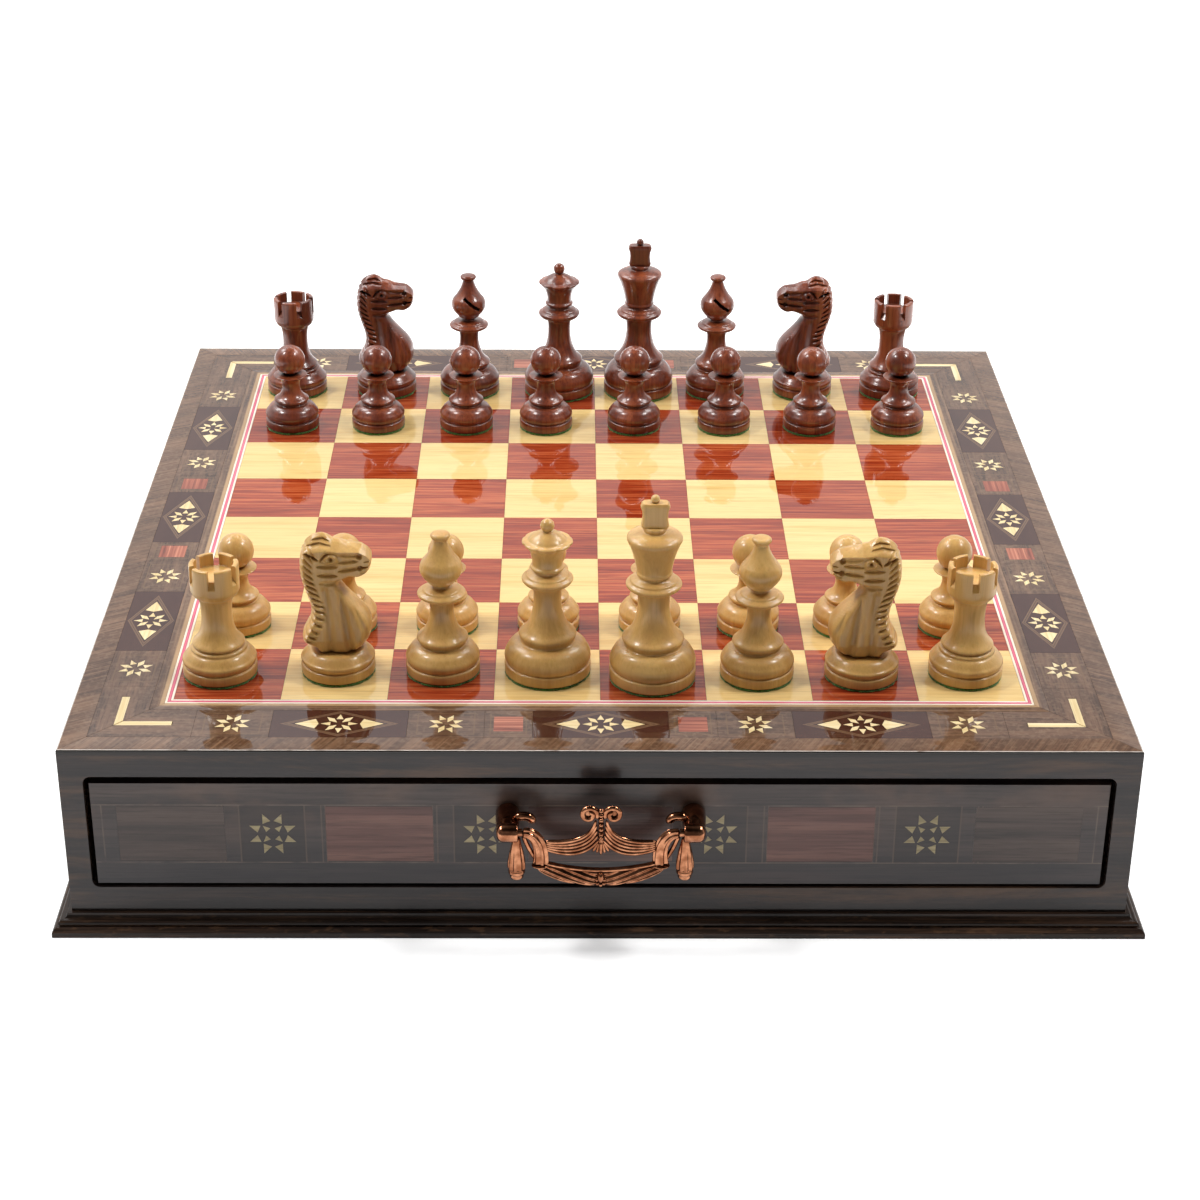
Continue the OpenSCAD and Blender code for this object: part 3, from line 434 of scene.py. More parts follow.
BAND_MID = 180.2
DIAMONDS = (0.0, 97.7)
DIAMOND_TILE = 25.5
RHOMB = (21.4, 9.0)
STARS = (57.85, 137.55)
BAR_AT, BAR_TILE, STAR_TILE, TILE_DEPTH = 34.5, 6.7, 10.6, 7.6
LINE = 0.35


def thin_line(recipe, value, at, width):
    """1 within width of the place where value equals at."""
    return recipe.minus(1.0, recipe.spread(recipe.apart(value, at), width * 0.5, width))


def tile_walnut():
    """Rhomb lines stand where off / length + out / width is 1 and 0.9, tile
    frames where the larger of both distances is the tile's half width."""
    r = glossed("tile_walnut", 0.015)
    along, across, up = side_grain(r)
    place = r.joined(r.times(along, 2.4), across, up)
    body, relief = wood(r, "x", ((76, 54, 42), (98, 72, 56), (120, 90, 70)), 0.4, place, fine=0.4)
    far = r.math("ABSOLUTE", along)
    out = r.apart(across, BAND_MID * MM)
    colour = mottled(r, body)
    for at in DIAMONDS:
        off = r.apart(far, at * MM)
        inside = r.math("LESS_THAN", off, DIAMOND_TILE * MM)
        colour = r.tint(colour, inside, 0.86, (58, 25, 21))
        reach = r.plus(r.math("DIVIDE", off, RHOMB[0] * MM), r.math("DIVIDE", out, RHOMB[1] * MM))
        for size in (1.0, 0.9):
            colour = r.tint(colour, thin_line(r, reach, size, 0.05), 0.5, (132, 104, 78))
    for at, half in ((BAR_AT, BAR_TILE), (STARS[0], STAR_TILE), (STARS[1], STAR_TILE)):
        box = r.most(r.apart(far, at * MM), r.plus(out, (half - TILE_DEPTH) * MM))
        colour = r.tint(colour, thin_line(r, box, half * MM, LINE * MM), 0.4, (120, 92, 64))
    return r.finish(colour, relief, 0.00002)


paint(tile_walnut(), "border_tiles")

# ------------------------ border inlays
# Star blades, darts and corner angles cut from pale maple, and short bars
# of padauk, each let into its tile and lacquered over flush.

BAR_REACH = 6


def inlay_veneer():
    """Red within BAR_REACH of a bar's middle, pale elsewhere."""
    r = glossed("inlay_veneer", 0.015)
    along, across, up = side_grain(r)
    place = r.joined(along, across, up)
    pale, relief = wood(r, "x", ((212, 186, 132), (230, 208, 158), (240, 222, 180)), 0.15, place)
    red, _ = wood(r, "x", ((132, 66, 50), (172, 100, 76), (200, 132, 104)), 0.4, place)
    bar = r.math("LESS_THAN", r.apart(r.math("ABSOLUTE", along), BAR_AT * MM), BAR_REACH * MM)
    return r.finish(r.mix(bar, pale, red), relief, 0.00002)


paint(inlay_veneer(), "border_inlays")

# ------------------------ drawer faces
# A dark walnut board with panels marked out by fine lines, pale stars let
# in between padauk bars. The lacquer here is thinner than on the board.

FACE_MID = 41.5
FACE_STARS = (42.57, 122.41)
STAR_PANEL, STAR_FRAMES = 12.4, (12.2, 18.4, 20.0)
BAND_HALF, BAND_END = 12.6, 185.6
STAR_REACH, END_BARS, MIDDLE_BAR = 10, 132, 30


def face_walnut(name, seed):
    """Painted light: lighter and warmer in clouds towards the top, and a painted reflection makes it darker
    and bluer towards the foot. The lines are faint, and the two long ones broken."""
    r = glossed(name, 0.28, coat=0.8)
    place = r.vector("ADD", r.place, seed)
    body, relief = wood(r, "x", ((62, 53, 51), (78, 67, 63), (97, 82, 76)), 0.3, place, fine=0.25)
    x, _, up = r.axes(r.place)
    cloud = r.spread(r.noise((34, 34, 60), place, detail=4), 0.4, 0.7)
    # painted light and reflection: warmer, lighter clouds high up, darker and bluer low down
    height = r.spread(up, 16 * MM, 66 * MM)
    body = r.tint(body, height, r.times(cloud, 0.5), (126, 98, 82))
    colour = r.tint(body, r.minus(1.0, height), 0.6, (43, 44, 50))
    far = r.math("ABSOLUTE", x)
    high = r.apart(up, FACE_MID * MM)
    within = r.math("LESS_THAN", high, BAND_HALF * MM)
    for at in FACE_STARS:
        off = r.apart(far, at * MM)
        panel = r.times(r.math("LESS_THAN", off, STAR_PANEL * MM), within)
        colour = r.tint(colour, panel, 0.5, (44, 38, 38))
        for edge in STAR_FRAMES:
            line = r.times(thin_line(r, off, edge * MM, LINE * MM), within)
            colour = r.tint(colour, line, 0.45, (120, 100, 84))
    end = r.times(thin_line(r, far, BAND_END * MM, LINE * MM), within)
    rail = r.most(thin_line(r, high, BAND_HALF * MM, LINE * MM), end)
    broken = r.spread(r.noise(60, place), 0.35, 0.6)
    return r.finish(r.tint(colour, r.times(rail, broken), 0.6, (130, 112, 98)), relief, 0.00003)


def face_veneer():
    """Pale stars, red bars, and plain walnut in the end bars and half so in
    the middle one."""
    r = glossed("face_inlay", 0.28, coat=0.8)
    pale, relief = wood(r, "x", ((150, 134, 98), (172, 156, 116), (188, 172, 132)), 0.2)
    red, _ = wood(r, "x", ((92, 62, 56), (113, 77, 69), (134, 96, 85)), 0.3, fine=0.3)
    plain, _ = wood(r, "x", ((62, 52, 48), (80, 66, 61), (98, 82, 74)), 0.3, fine=0.25)
    far = r.math("ABSOLUTE", r.axes(r.place)[0])
    star = 0.0
    for at in FACE_STARS:
        star = r.most(star, r.math("LESS_THAN", r.apart(far, at * MM), STAR_REACH * MM))
    bars = r.mix(r.math("GREATER_THAN", far, END_BARS * MM), red, plain)
    bars = r.mix(r.times(r.math("LESS_THAN", far, MIDDLE_BAR * MM), 0.6), bars, plain)
    return r.finish(r.mix(star, bars, pale), relief, 0.00003)


paint(face_walnut("walnut_face_front", (0.2, 0, 0.4)), "front_drawer_face")
paint(face_walnut("walnut_face_rear", (1.3, 0, 0.9)), "rear_drawer_face")
paint(face_veneer(), "front_drawer_inlay", "rear_drawer_inlay")

# ------------------------ drawer boxes
# Sides, back and bottom of birch plywood; thin maple dividers, half-lapped
# where they cross, drop in to make the compartments for the men.


def divider_maple():
    """Plain sawn maple without lacquer."""
    r = Recipe("divider_maple", roughness=0.5)
    return r.finish(*wood(r, "x", ((196, 160, 108), (214, 182, 130), (226, 198, 150)), 0.2), 0.00005)


dividers = divider_maple()
for end in ("front", "rear"):
    paint(birch, f"{end}_drawer_walls", f"{end}_drawer_bottom")
    paint(dividers, f"{end}_drawer_dividers")

# ------------------------ handle posts
# Two copper-plated castings on each drawer: a stem on the face, a barrel
# across its end, a small scroll, and a fluted tassel. A screw from inside
# the drawer holds each.

AXIS_Y, AXIS_Z = -213.0, 51.1
FACE_Y, FACE_BACK = -199.0, -189.0
POST_X, BARREL_IN = 34.5, 30.5
FACE_T = FACE_BACK - FACE_Y
ENDS = (("front", 1), ("rear", -1))


def open_to_light(recipe, reach, closed, clear):
    """0 deep in a crevice, 1 on the open surface, by how much lies within reach."""
    shade = recipe.node("AmbientOcclusion", {"Distance": reach * MM}, "AO", samples=8)
    return recipe.spread(shade, closed, clear)


def antique_copper():
    """Bright where rubbed, brown in clouds, nearly black in the crevices."""
    r = Recipe("antique_copper", roughness=0.24, metallic=1.0)
    cloud = r.spread(r.noise(260, detail=3), 0.35, 0.7)
    body = r.mix(cloud, srgb(132, 82, 56), srgb(190, 132, 98))
    aged = r.mix(open_to_light(r, 2.2, 0.2, 0.8), srgb(34, 15, 10), body)
    rough = r.plus(0.11, r.times(cloud, 0.08))
    return r.finish(aged, r.noise(900, detail=2), 0.00002, roughness=rough)


def shell(rings):
    """A closed skin over rings (n, around, 3), each seen counter-clockwise from
    ahead of the last; the first and last ring close to their own middle."""
    n, around = rings.shape[:2]
    verts = np.concatenate([rings[0].mean(0)[None], rings[1:-1].reshape(-1, 3), rings[-1].mean(0)[None]])
    j = np.arange(around)
    near = (j + 1) % around
    i = np.arange(n - 3)[:, None] * around + 1
    quads = np.stack([i + j, i + near, i + near + around, i + j + around], -1).reshape(-1, 4)
    last = 1 + (n - 3) * around
    foot = np.stack([0 * j, near + 1, j + 1], 1)
    cap = np.stack([last + j, last + near, 0 * j + len(verts) - 1], 1)
    return verts, quads.tolist() + foot.tolist() + cap.tolist()


def circle(n):
    """n angles round a full turn."""
    return np.linspace(0, 2 * np.pi, n, endpoint=False)


def held(v):
    """v, kept from falling under 0 or rising over 1."""
    return np.clip(v, 0, 1)


def joined_shells(parts):
    """Several closed skins as one mesh."""
    verts, faces, base = [], [], 0
    for v, f in parts:
        verts.append(v)
        faces += [[i + base for i in face] for face in f]
        base += len(v)
    return np.concatenate(verts), faces


def round_corners(outline, reach):
    """Cuts each corner of an outline that turns by more than 9 degrees, twice,
    by the reach or a share of its sides, so that it reads as a worked edge.
    A point given twice is kept once."""
    apart = np.linalg.norm(np.diff(outline, axis=0), axis=1) > 1e-4
    outline = outline[np.concatenate([[True], apart])]
    for share in (0.3, 0.25):
        step = np.diff(outline, axis=0)
        length = np.linalg.norm(step, axis=1)[:, None] + 1e-9
        ahead = step / length
        cut = ahead * np.minimum(share * length, reach)
        corner = outline[1:-1]
        sharp = (ahead[:-1] * ahead[1:]).sum(1) < math.cos(math.radians(9))
        before = corner - cut[:-1] * sharp[:, None]
        kept = np.stack([np.ones_like(sharp), sharp], 1).ravel()
        inner = np.stack([before, corner + cut[1:]], 1).reshape(-1, 2)[kept]
        outline = np.concatenate([outline[:1], inner, outline[-1:]])
        reach *= 0.5
    return outline


def spun(outline, around, waves=None):
    """Outline (radius, height) turned about the upright axis; waves(angle, height)
    multiplies the radius."""
    a = circle(around)
    r, z = outline[:, :1], outline[:, 1:]
    r = r * (waves(a[None, :], z) if waves else 1.0) + 0 * a
    return np.stack([r * np.cos(a), r * np.sin(a), z + 0 * a], -1)


def laid(rings, along):
    """Turns a spun piece so that its axis lies along +x or +y."""
    x, y, z = rings[..., 0], rings[..., 1], rings[..., 2]
    return np.stack([z, x, y], -1) if along == "x" else np.stack([y, z, x], -1)


def upright(points, y, side=1):
    """Points (x, z) stood up at the depth y, on the right or the left (-1)."""
    return np.stack([side * points[:, 0], 0 * points[:, 0] + y, points[:, 1]], 1)


def rod(path, radius, around=10, flutes=0, depth=0.0, flat=1.0):
    """A rod along a path (n, 3) that lies near the x-z plane. Its section leans
    with the path; flutes run along it, and flat squeezes it front to back."""
    radius = np.broadcast_to(radius, len(path))[:, None, None]
    ahead = np.gradient(path, axis=0)
    ahead /= np.linalg.norm(ahead, axis=1)[:, None]
    back = np.array([0.0, 1.0, 0.0]) - ahead * ahead[:, 1:2]
    back /= np.linalg.norm(back, axis=1)[:, None]
    side = np.cross(back, ahead)
    a = circle(around)[None, :, None]
    swell = radius * (1 + depth * np.cos(flutes * a))
    return shell(path[:, None] + swell * (side[:, None] * np.cos(a) + back[:, None] * np.sin(a) * flat))


def rounded_ends(n, tip=0.12):
    """Radius along a tube of n rings: full in the middle, a quarter round at each end."""
    t = np.linspace(0, 1, n)
    edge = held(np.minimum(t, 1 - t) / tip)
    return np.sqrt(1 - (1 - edge) ** 2)


def tassel_flutes(a, z):
    """Nine flutes on the skirt of the tassel, none on its rings."""
    skirt = held((-z - 1) / 2) * (z > -11.6)
    return 1 + 0.1 * skirt * np.cos(9 * a)


def post_parts():
    """One right-hand post, its pieces measured from the drawer's middle."""
    barrel = np.concatenate([[[0, 0], [3.3, 0], [3.6, 0.4], [3.6, 5.4]],
                             arc(1.0, 5.4, 2.6, 0, 90, 10), [[0, 8]]])
    barrel = laid(spun(round_corners(barrel, 0.4), 48), "x") + [BARREL_IN, AXIS_Y, AXIS_Z]
    stem = np.array([[0, -1.5], [3.0, -1.2], [3.5, 1.5], [4.2, 4],
                     [4.5, 8.5], [4.6, 11.5], [4.6, 14.0], [0, 14.0]])
    stem = laid(spun(round_corners(stem, 0.5), 48), "y") + [POST_X, AXIS_Y, AXIS_Z]
    tassel = np.array([
        [0, -16.3], [2.3, -15.8], [2.7, -14.8], [2.4, -14.1], [3.2, -13.5], [3.2, -12.5], [2.9, -11.9],
        [3.2, -11.4], [3.1, -9], [2.5, -5], [1.9, -1.4], [1.6, 0], [1.3, 1.5], [0, 1.5]])
    tassel = spun(round_corners(tassel, 0.25), 72, tassel_flutes) + [POST_X - 3.4, AXIS_Y, AXIS_Z - 3.6]
    curl = np.concatenate([bend([8.2, 0.2], [4, 1.6], [2.2, 0.4], 12),
                           bend([2.2, 0.4], [1.0, -0.6], [1.6, -1.9], 8)[1:]])
    curl = upright(curl + [BARREL_IN - 6.4, AXIS_Z + 2.8], AXIS_Y + 5.4)
    screw = np.array([[0, -0.5], [2.0, -0.5], [2.0, FACE_T], [4.0, FACE_T + 0.02],
                      [4.0, FACE_T + 1.0], [3.2, FACE_T + 2.0], [0, FACE_T + 2.4]])
    screw = laid(spun(round_corners(screw, 0.2), 32), "y") + [POST_X, FACE_Y, AXIS_Z]
    scroll = rod(curl, 1.75 * rounded_ends(len(curl), 0.2), 18)
    return [shell(barrel), shell(stem), shell(tassel), scroll, shell(screw)]


def mirrored_shell(part):
    """The left-hand twin: x changes sign, and each face is turned to point out again."""
    verts, faces = part
    return verts * [-1, 1, 1], [face[::-1] for face in faces]


copper = antique_copper()
right_post = post_parts()
posts, post_faces = joined_shells(right_post + [mirrored_shell(part) for part in right_post])
for end, turn in ENDS:
    obj = piece(f"{end}_posts", posts * [turn, turn, 1], post_faces, f"{end}_drawer", [copper], "copper", 40)
    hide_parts(f"{end}_handle_posts")

# ------------------------ handle bails
# A one-piece copper-plated casting that swings on pins in the barrels:
# fluted arms, a draped swag below with a bud, and a second drape above it
# that gathers under a crown of two volutes and a column of beads.

ARM = 29.5
STRANDS = 5
SWAG_TOP = np.concatenate([bend([0, -15.1], [9.5, -15.1], [19.4, -12.4], 20), [[25.4, -12.2]]])
SWAG_LOW = bend([0, -22.9], [20.6, -22.6], [25.6, -12.4], 30)


def lower_swag():
    """Across the swag u, round it v: half height and thickness follow the two
    edges. Folds run down towards the middle: their height is the sine of
    z - 0.5 (sqrt(u^2 + 16) - 4), and fades towards the upper rim."""
    u = np.linspace(-25.2, 25.2, 260)[:, None]
    v = circle(120)[None, :]
    top = np.interp(abs(u), SWAG_TOP[:, 0], SWAG_TOP[:, 1])
    low = np.interp(abs(u), SWAG_LOW[:, 0], SWAG_LOW[:, 1])
    half = np.maximum((top - low) / 2, 0.05)
    z = (top + low) / 2 + half * np.cos(v)
    thick = np.minimum(2.0, 0.8 + half * 0.6) * np.sqrt(held(1 - (abs(u) / 25.4) ** 8))
    along = z - 0.5 * (np.sqrt(u * u + 16) - 4)
    wave = 0.5 + 0.5 * np.sin(2 * np.pi * along / 2.2)
    fold = wave * held((top - z - 0.7) / 0.8) * np.clip(abs(u) / 3, 0.2, 1)
    front = np.sqrt(held(-np.sin(v)))
    y = thick * np.sin(v) * np.where(np.sin(v) > 0, 0.55, 1.0)
    y = y - (0.8 * fold - 0.4) * front * held(half / 2)
    return shell(np.stack([u + 0 * v, y, z], -1)[:, ::-1])


def drape_strand(k, side):
    """The k-th fold of the upper drape, from the beads out to the arm: a curve
    that share of the way from the highest fold to the lowest."""
    high = bend([1.9, 6.4], [3.2, -5.0], [21.0, -3.6], 29)
    low = bend([0.6, -2.0], [7.2, -12.6], [21.4, -6.2], 29)
    line = high + (low - high) * k / (STRANDS - 1)
    path = upright(line, -0.3 - 0.8 * (1 - np.linspace(0, 1, 30)), side)
    return rod(path, np.linspace(0.6, 0.95, 30) * rounded_ends(30, 0.1), 12)


def volute(side):
    """A ram's horn: its radius falls from 3.3 to 1.1 over one turn and a third,
    and the horn itself thins as it winds in."""
    a = np.radians(np.linspace(215, -265, 60))
    r = np.linspace(3.3, 1.1, 60)
    path = np.stack([4.5 + r * np.cos(a), 8.5 + r * np.sin(a)], 1)
    path = upright(path, -0.9 - np.linspace(0, 0.7, 60), side)
    return rod(path, np.linspace(1.15, 0.85, 60) * rounded_ends(60, 0.06), 14)


def pellet(place, half_widths, around=20):
    """An egg of three half widths."""
    a = np.linspace(-np.pi / 2, np.pi / 2, 14)
    return shell(spun(np.stack([np.cos(a), np.sin(a)], 1), around) * half_widths + place)


def bail_parts():
    """The swag, both sides' arms, pins, folds and volutes, the swag's rim, the
    column of beads with its leaves, and the small flower."""
    parts = [lower_swag()]
    arm = np.concatenate([bend([ARM - 0.4, 0], [24.6, 0.7], [22.6, -5], 12),
                          bend([22.6, -5], [21.6, -8.5], [22.2, -13.6], 10)[1:]])
    width = np.interp(np.linspace(0, 1, len(arm)), [0, 0.3, 1], [1.7, 2.1, 2.7])
    width = width * rounded_ends(len(arm), 0.06)
    back = bend([28.6, -1.2], [27.2, -7], [23.4, -12.4], 16)
    pin = shell(laid(spun(np.array([[0, 0], [1.5, 0], [1.5, 5.4], [0, 5.6]]), 24), "x") + [ARM - 0.6, 0, 0])
    for side in (-1, 1):
        parts += [
            rod(upright(arm, -0.3, side), width, 56, 7, 0.15, 0.8),
            rod(upright(back, 0.5, side), 0.9 * rounded_ends(17), 10),
            pellet([side * 22.3, -0.3, -13.9], [3.3, 2.5, 0.85], 32),
            pin if side > 0 else mirrored_shell(pin),
            *[drape_strand(k, side) for k in range(STRANDS)],
            volute(side),
            pellet([side * 4.5, -0.2, 8.5], [3.2, 0.9, 3.0]),
        ]
    rim = np.concatenate([SWAG_TOP[::-1] * [-1, 1], SWAG_TOP[1:]]) - [0, 0.55]
    parts.append(rod(upright(rim, -1.0), 0.8 * rounded_ends(len(rim), 0.06), 14))
    spine = np.stack([np.zeros(12), np.linspace(10.8, -6, 12)], 1)
    parts.append(rod(upright(spine, -0.7), 1.0 * rounded_ends(12, 0.2), 12))
    parts += [pellet([0, -1.8, z], [0.95, 1.0, 0.9]) for z in np.linspace(10.6, -1.4, 7)]
    parts.append(pellet([0, -1.3, -5.8], [0.8, 1.0, 2.9]))
    for k in (-2, -1, 1, 2):
        leaf = np.stack([np.linspace(0.4 * k, 1.5 * k, 12), np.linspace(-3.4, -8.6 + 0.2 * k * k, 12)], 1)
        parts.append(rod(upright(leaf, -0.6), 0.62 * rounded_ends(12, 0.25), 12))
    parts.append(pellet([0, -2.0, -18.2], [1.25, 1.5, 2.2]))
    for a in np.radians((150, 30, 215, 270, 325)):
        parts.append(pellet([1.5 * math.cos(a), -1.9, -19.8 + 1.5 * math.sin(a)], [0.9, 1.1, 0.9], 16))
    return joined_shells(parts)


bail, bail_faces = bail_parts()
for end, turn in ENDS:
    verts = (bail + [0, AXIS_Y, AXIS_Z]) * [turn, turn, 1]
    obj = piece(f"{end}_bail", verts, bail_faces, f"{end}_bail", [copper], "copper", 50)
    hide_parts(f"{end}_handle_bail")

# ------------------------ chessmen: wood
# One side turned from pale boxwood and waxed, the other from reddish
# rosewood and polished. The grain stands upright and differs in each man.


def boxwood():
    """Pale and waxed; painted shade makes it browner where the turning goes deep."""
    r = Recipe("boxwood", roughness=0.42, coat=0.5, coat_roughness=0.18, under=0.3)
    r.surface.inputs["Subsurface Weight"].default_value = 0.06
    r.surface.inputs["Subsurface Scale"].default_value = 0.002
    body, relief = wood(r, "z", ((194, 148, 82), (205, 160, 90), (216, 173, 104)), 0.08, fine=0.25)
    # painted shade in the deep turnings, from ambient occlusion
    return r.finish(r.mix(open_to_light(r, 3, 0.2, 0.75), srgb(160, 114, 62), body), relief, 0.00002)


def rosewood():
    """Reddish and polished; painted shade makes it nearly black where the turning goes deep."""
    r = Recipe("rosewood", roughness=0.36, coat=0.75, coat_roughness=0.17, under=0.35)
    body, relief = wood(r, "z", ((92, 37, 17), (119, 52, 26), (150, 76, 42)), 0.35, fine=0.3)
    # painted shade in the deep turnings, from ambient occlusion
    return r.finish(r.mix(open_to_light(r, 3, 0.3, 0.8), srgb(44, 17, 9), body), relief, 0.00003)


def baize():
    """Green wool in fine tufts, darker between them."""
    r = Recipe("baize", roughness=0.95)
    r.surface.inputs["Sheen Weight"].default_value = 0.4
    tuft = r.noise(1600, detail=3)
    return r.finish(r.ramp(tuft, (0.3, (34, 76, 26)), (0.7, (92, 142, 52))), tuft, 0.0003)


woods = {"white": boxwood(), "dark": rosewood()}
felt_green = baize()

# ------------------------ chessmen: forms
# Each man is turned in one piece, then the rook is sawn, the bishop slit,
# and the knight and the king's block carved. A ragged felt disc, glued
# under the foot, just shows round its edge.

FELT = 1.0


def foot(r, p, z1, r1):
    """Plinth, groove, bulge and shoulder, up to radius r1 at height z1."""
    return np.concatenate([
        [[0, FELT], [r - 0.4, FELT], [r, FELT + 0.4], [r, p], [r - 0.5, p + 0.4], [r - 0.9, p + 0.5]],
        bend([r - 0.9, p + 0.5], [r + 0.7, p + 2.6], [r - 0.6, p + (z1 - p) * 0.55], 12),
        bend([r - 1, p + (z1 - p) * 0.62], [r - 2.4, z1 - 0.4], [r1, z1], 10),
    ])


def turned(*runs, reach=0.28, around=96, waves=None):
    """A man's outline, run after run from the felt up, spun on the lathe."""
    return spun(round_corners(np.concatenate(runs), reach), around, waves)


def felt_disc(d, seed):
    """A disc whose edge strays in and out by a few tenths, as cut felt does."""
    rng = np.random.default_rng(seed)
    a = circle(120)
    edge = sum(rng.uniform(0.03, 0.16) * np.sin(k * a + rng.uniform(0, 6.3)) for k in (5, 9, 14, 23, 37))
    r = d / 2 - 0.12 + np.minimum(edge, 0.1)
    levels = np.array([0.0, 0.0, 0.25, 0.75, 0.96, 0.96])
    reach = np.array([0.0, 0.97, 1.0, 1.0, 0.98, 0.0])
    r = reach[:, None] * r
    return shell(np.stack([r * np.cos(a), r * np.sin(a), levels[:, None] + 0 * a], -1))


def pawn():
    """A ball on a collar and a slender stem."""
    return [shell(turned(
        foot(12.4, 4.4, 12, 7.3),
        [[7.1, 12.6], [8, 13.4], [8.2, 14], [7.7, 14.6]],
        bend([7.7, 14.6], [4.2, 16.4], [4.1, 21], 12),
        bend([4.1, 21], [4.2, 24.2], [7, 25.2], 10),
        [[7.8, 25.6], [7.8, 26.1], [3.2, 26.8]],
        arc(0, 33.2, 7.1, -64, 90, 30)))], 24.8


def rook():
    """Six parallel slots go down through the wall of the head; between their
    sides the wall's height falls to a floor that slopes down outwards."""
    outline = round_corners(np.concatenate([
        foot(14.3, 4.6, 11.2, 11),
        [[10.7, 11.6], [10.8, 12.2], [10.1, 12.8], [9.5, 12.9], [9.5, 13.3], [10.1, 13.6], [10.1, 14.3]],
        bend([9.6, 14.9], [6.1, 18], [5.9, 25], 12),
        bend([5.9, 25], [5.8, 31], [6.9, 33.6], 10),
        [[8.3, 34.6], [9.4, 36.6], [9.45, 38.5], [9.45, 40], [9.48, 42], [9.5, 45], [9.5, 47], [9.1, 47.5],
         [8.5, 47.5], [7.7, 47.5], [7.5, 47.1], [7.5, 45], [7.5, 42.6], [5, 42.9], [0, 43.2]]]), 0.2)
    half = math.degrees(math.asin(1.2 / 8.6))
    steps = np.concatenate([np.linspace(-half, half, 7), [half + 0.05],
                            np.linspace(half + 1.5, 60 - half - 1.5, 10), [60 - half - 0.05]])
    a = np.radians(np.concatenate([steps + 60 * k - 90 for k in range(6)]))
    in_slot = np.tile(np.arange(len(steps)) < 7, 6)[None, :]
    r, z = outline[:, :1] + 0 * a, outline[:, 1:] + 0 * a
    floor = np.interp(r, [7.5, 9.5], [42.4, 39.8])
    z = np.where(in_slot & (r > 7.4) & (z > floor), floor + 0.01 * (z - floor), z)
    return [shell(np.stack([r * np.cos(a), r * np.sin(a), z], -1))], 28.6


def bishop():
    """The slit is a thin slanting slab: skin inside it is drawn in towards the axis."""
    rings = turned(
        foot(14.3, 4.6, 12.6, 8.9),
        [[8.8, 13.4], [9.8, 14.6], [10, 15.4], [9.4, 16.1]],
        bend([9.4, 16.1], [5.2, 19], [4.5, 27], 12),
        bend([4.5, 27], [4.4, 31.4], [5.4, 32.2], 8),
        [[8.6, 33], [9.4, 33.8], [9.2, 34.6], [7.4, 35.3], [7.1, 36.1]],
        [[3.4, 36.9], [3.4, 37.9], [5, 38.7], [5.3, 39.4]],
        bend([5.3, 39.4], [9.9, 43.6], [7.2, 47.8], 36),
        bend([7.2, 47.8], [3.4, 52.2], [2.6, 56.6], 36),
        [[3.7, 57.6], [3.9, 58.4], [3.2, 59.2], [0, 59.5]], around=200)
    x, y, z = rings[..., 0], rings[..., 1], rings[..., 2]
    tilt = math.radians(38)
    run = (x + 2.2) * math.cos(tilt) - (z - 48.6) * math.sin(tilt)
    off = (x + 2.2) * math.sin(tilt) + (z - 48.6) * math.cos(tilt) - 0.65
    cut = (abs(off) < 0.65) & (run > -0.1) & (run < 9) & (y < -1.2)
    rings[..., 1] = y * np.where(cut, held(-1.6 / np.minimum(y, -1.6)), 1.0)
    return [shell(rings)], 28.6


def coronet(a, z):
    """Eight shallow notches round the brim."""
    brim = np.exp(-((z - 55.2) / 1.5) ** 2)
    return 1 - 0.07 * brim * np.exp(-((np.mod(np.degrees(a) + 0.01, 45) - 22.5) / 5.5) ** 2)


def queen():
    """A tall stem that flares into a coronet, with a small ball on its dome."""
    return [shell(turned(
        foot(16.7, 5, 14.2, 10.6),
        [[10.4, 15], [11, 16.2], [11.2, 17.2], [10.6, 18]],
        bend([10.6, 18], [6.4, 21], [5.5, 29], 12),
        bend([5.5, 29], [5, 36.4], [6.2, 37.6], 10),
        [[8.9, 38.8], [9.9, 40], [9.8, 40.9], [8.3, 41.6], [8, 42.3], [6.6, 42.8]],
        [[5.3, 43.4], [5.3, 44.4], [6.6, 45], [6.6, 45.8], [5.8, 46.4]],
        bend([5.8, 46.4], [5.4, 52.4], [9.5, 55.4], 22),
        [[9.8, 56], [9.2, 56.5], [7.4, 56.8]],
        bend([7.4, 56.8], [5.6, 59], [1.8, 60.2], 12),
        arc(0, 62.5, 2.7, -50, 90, 16), reach=0.25, around=144, waves=coronet))], 33.4


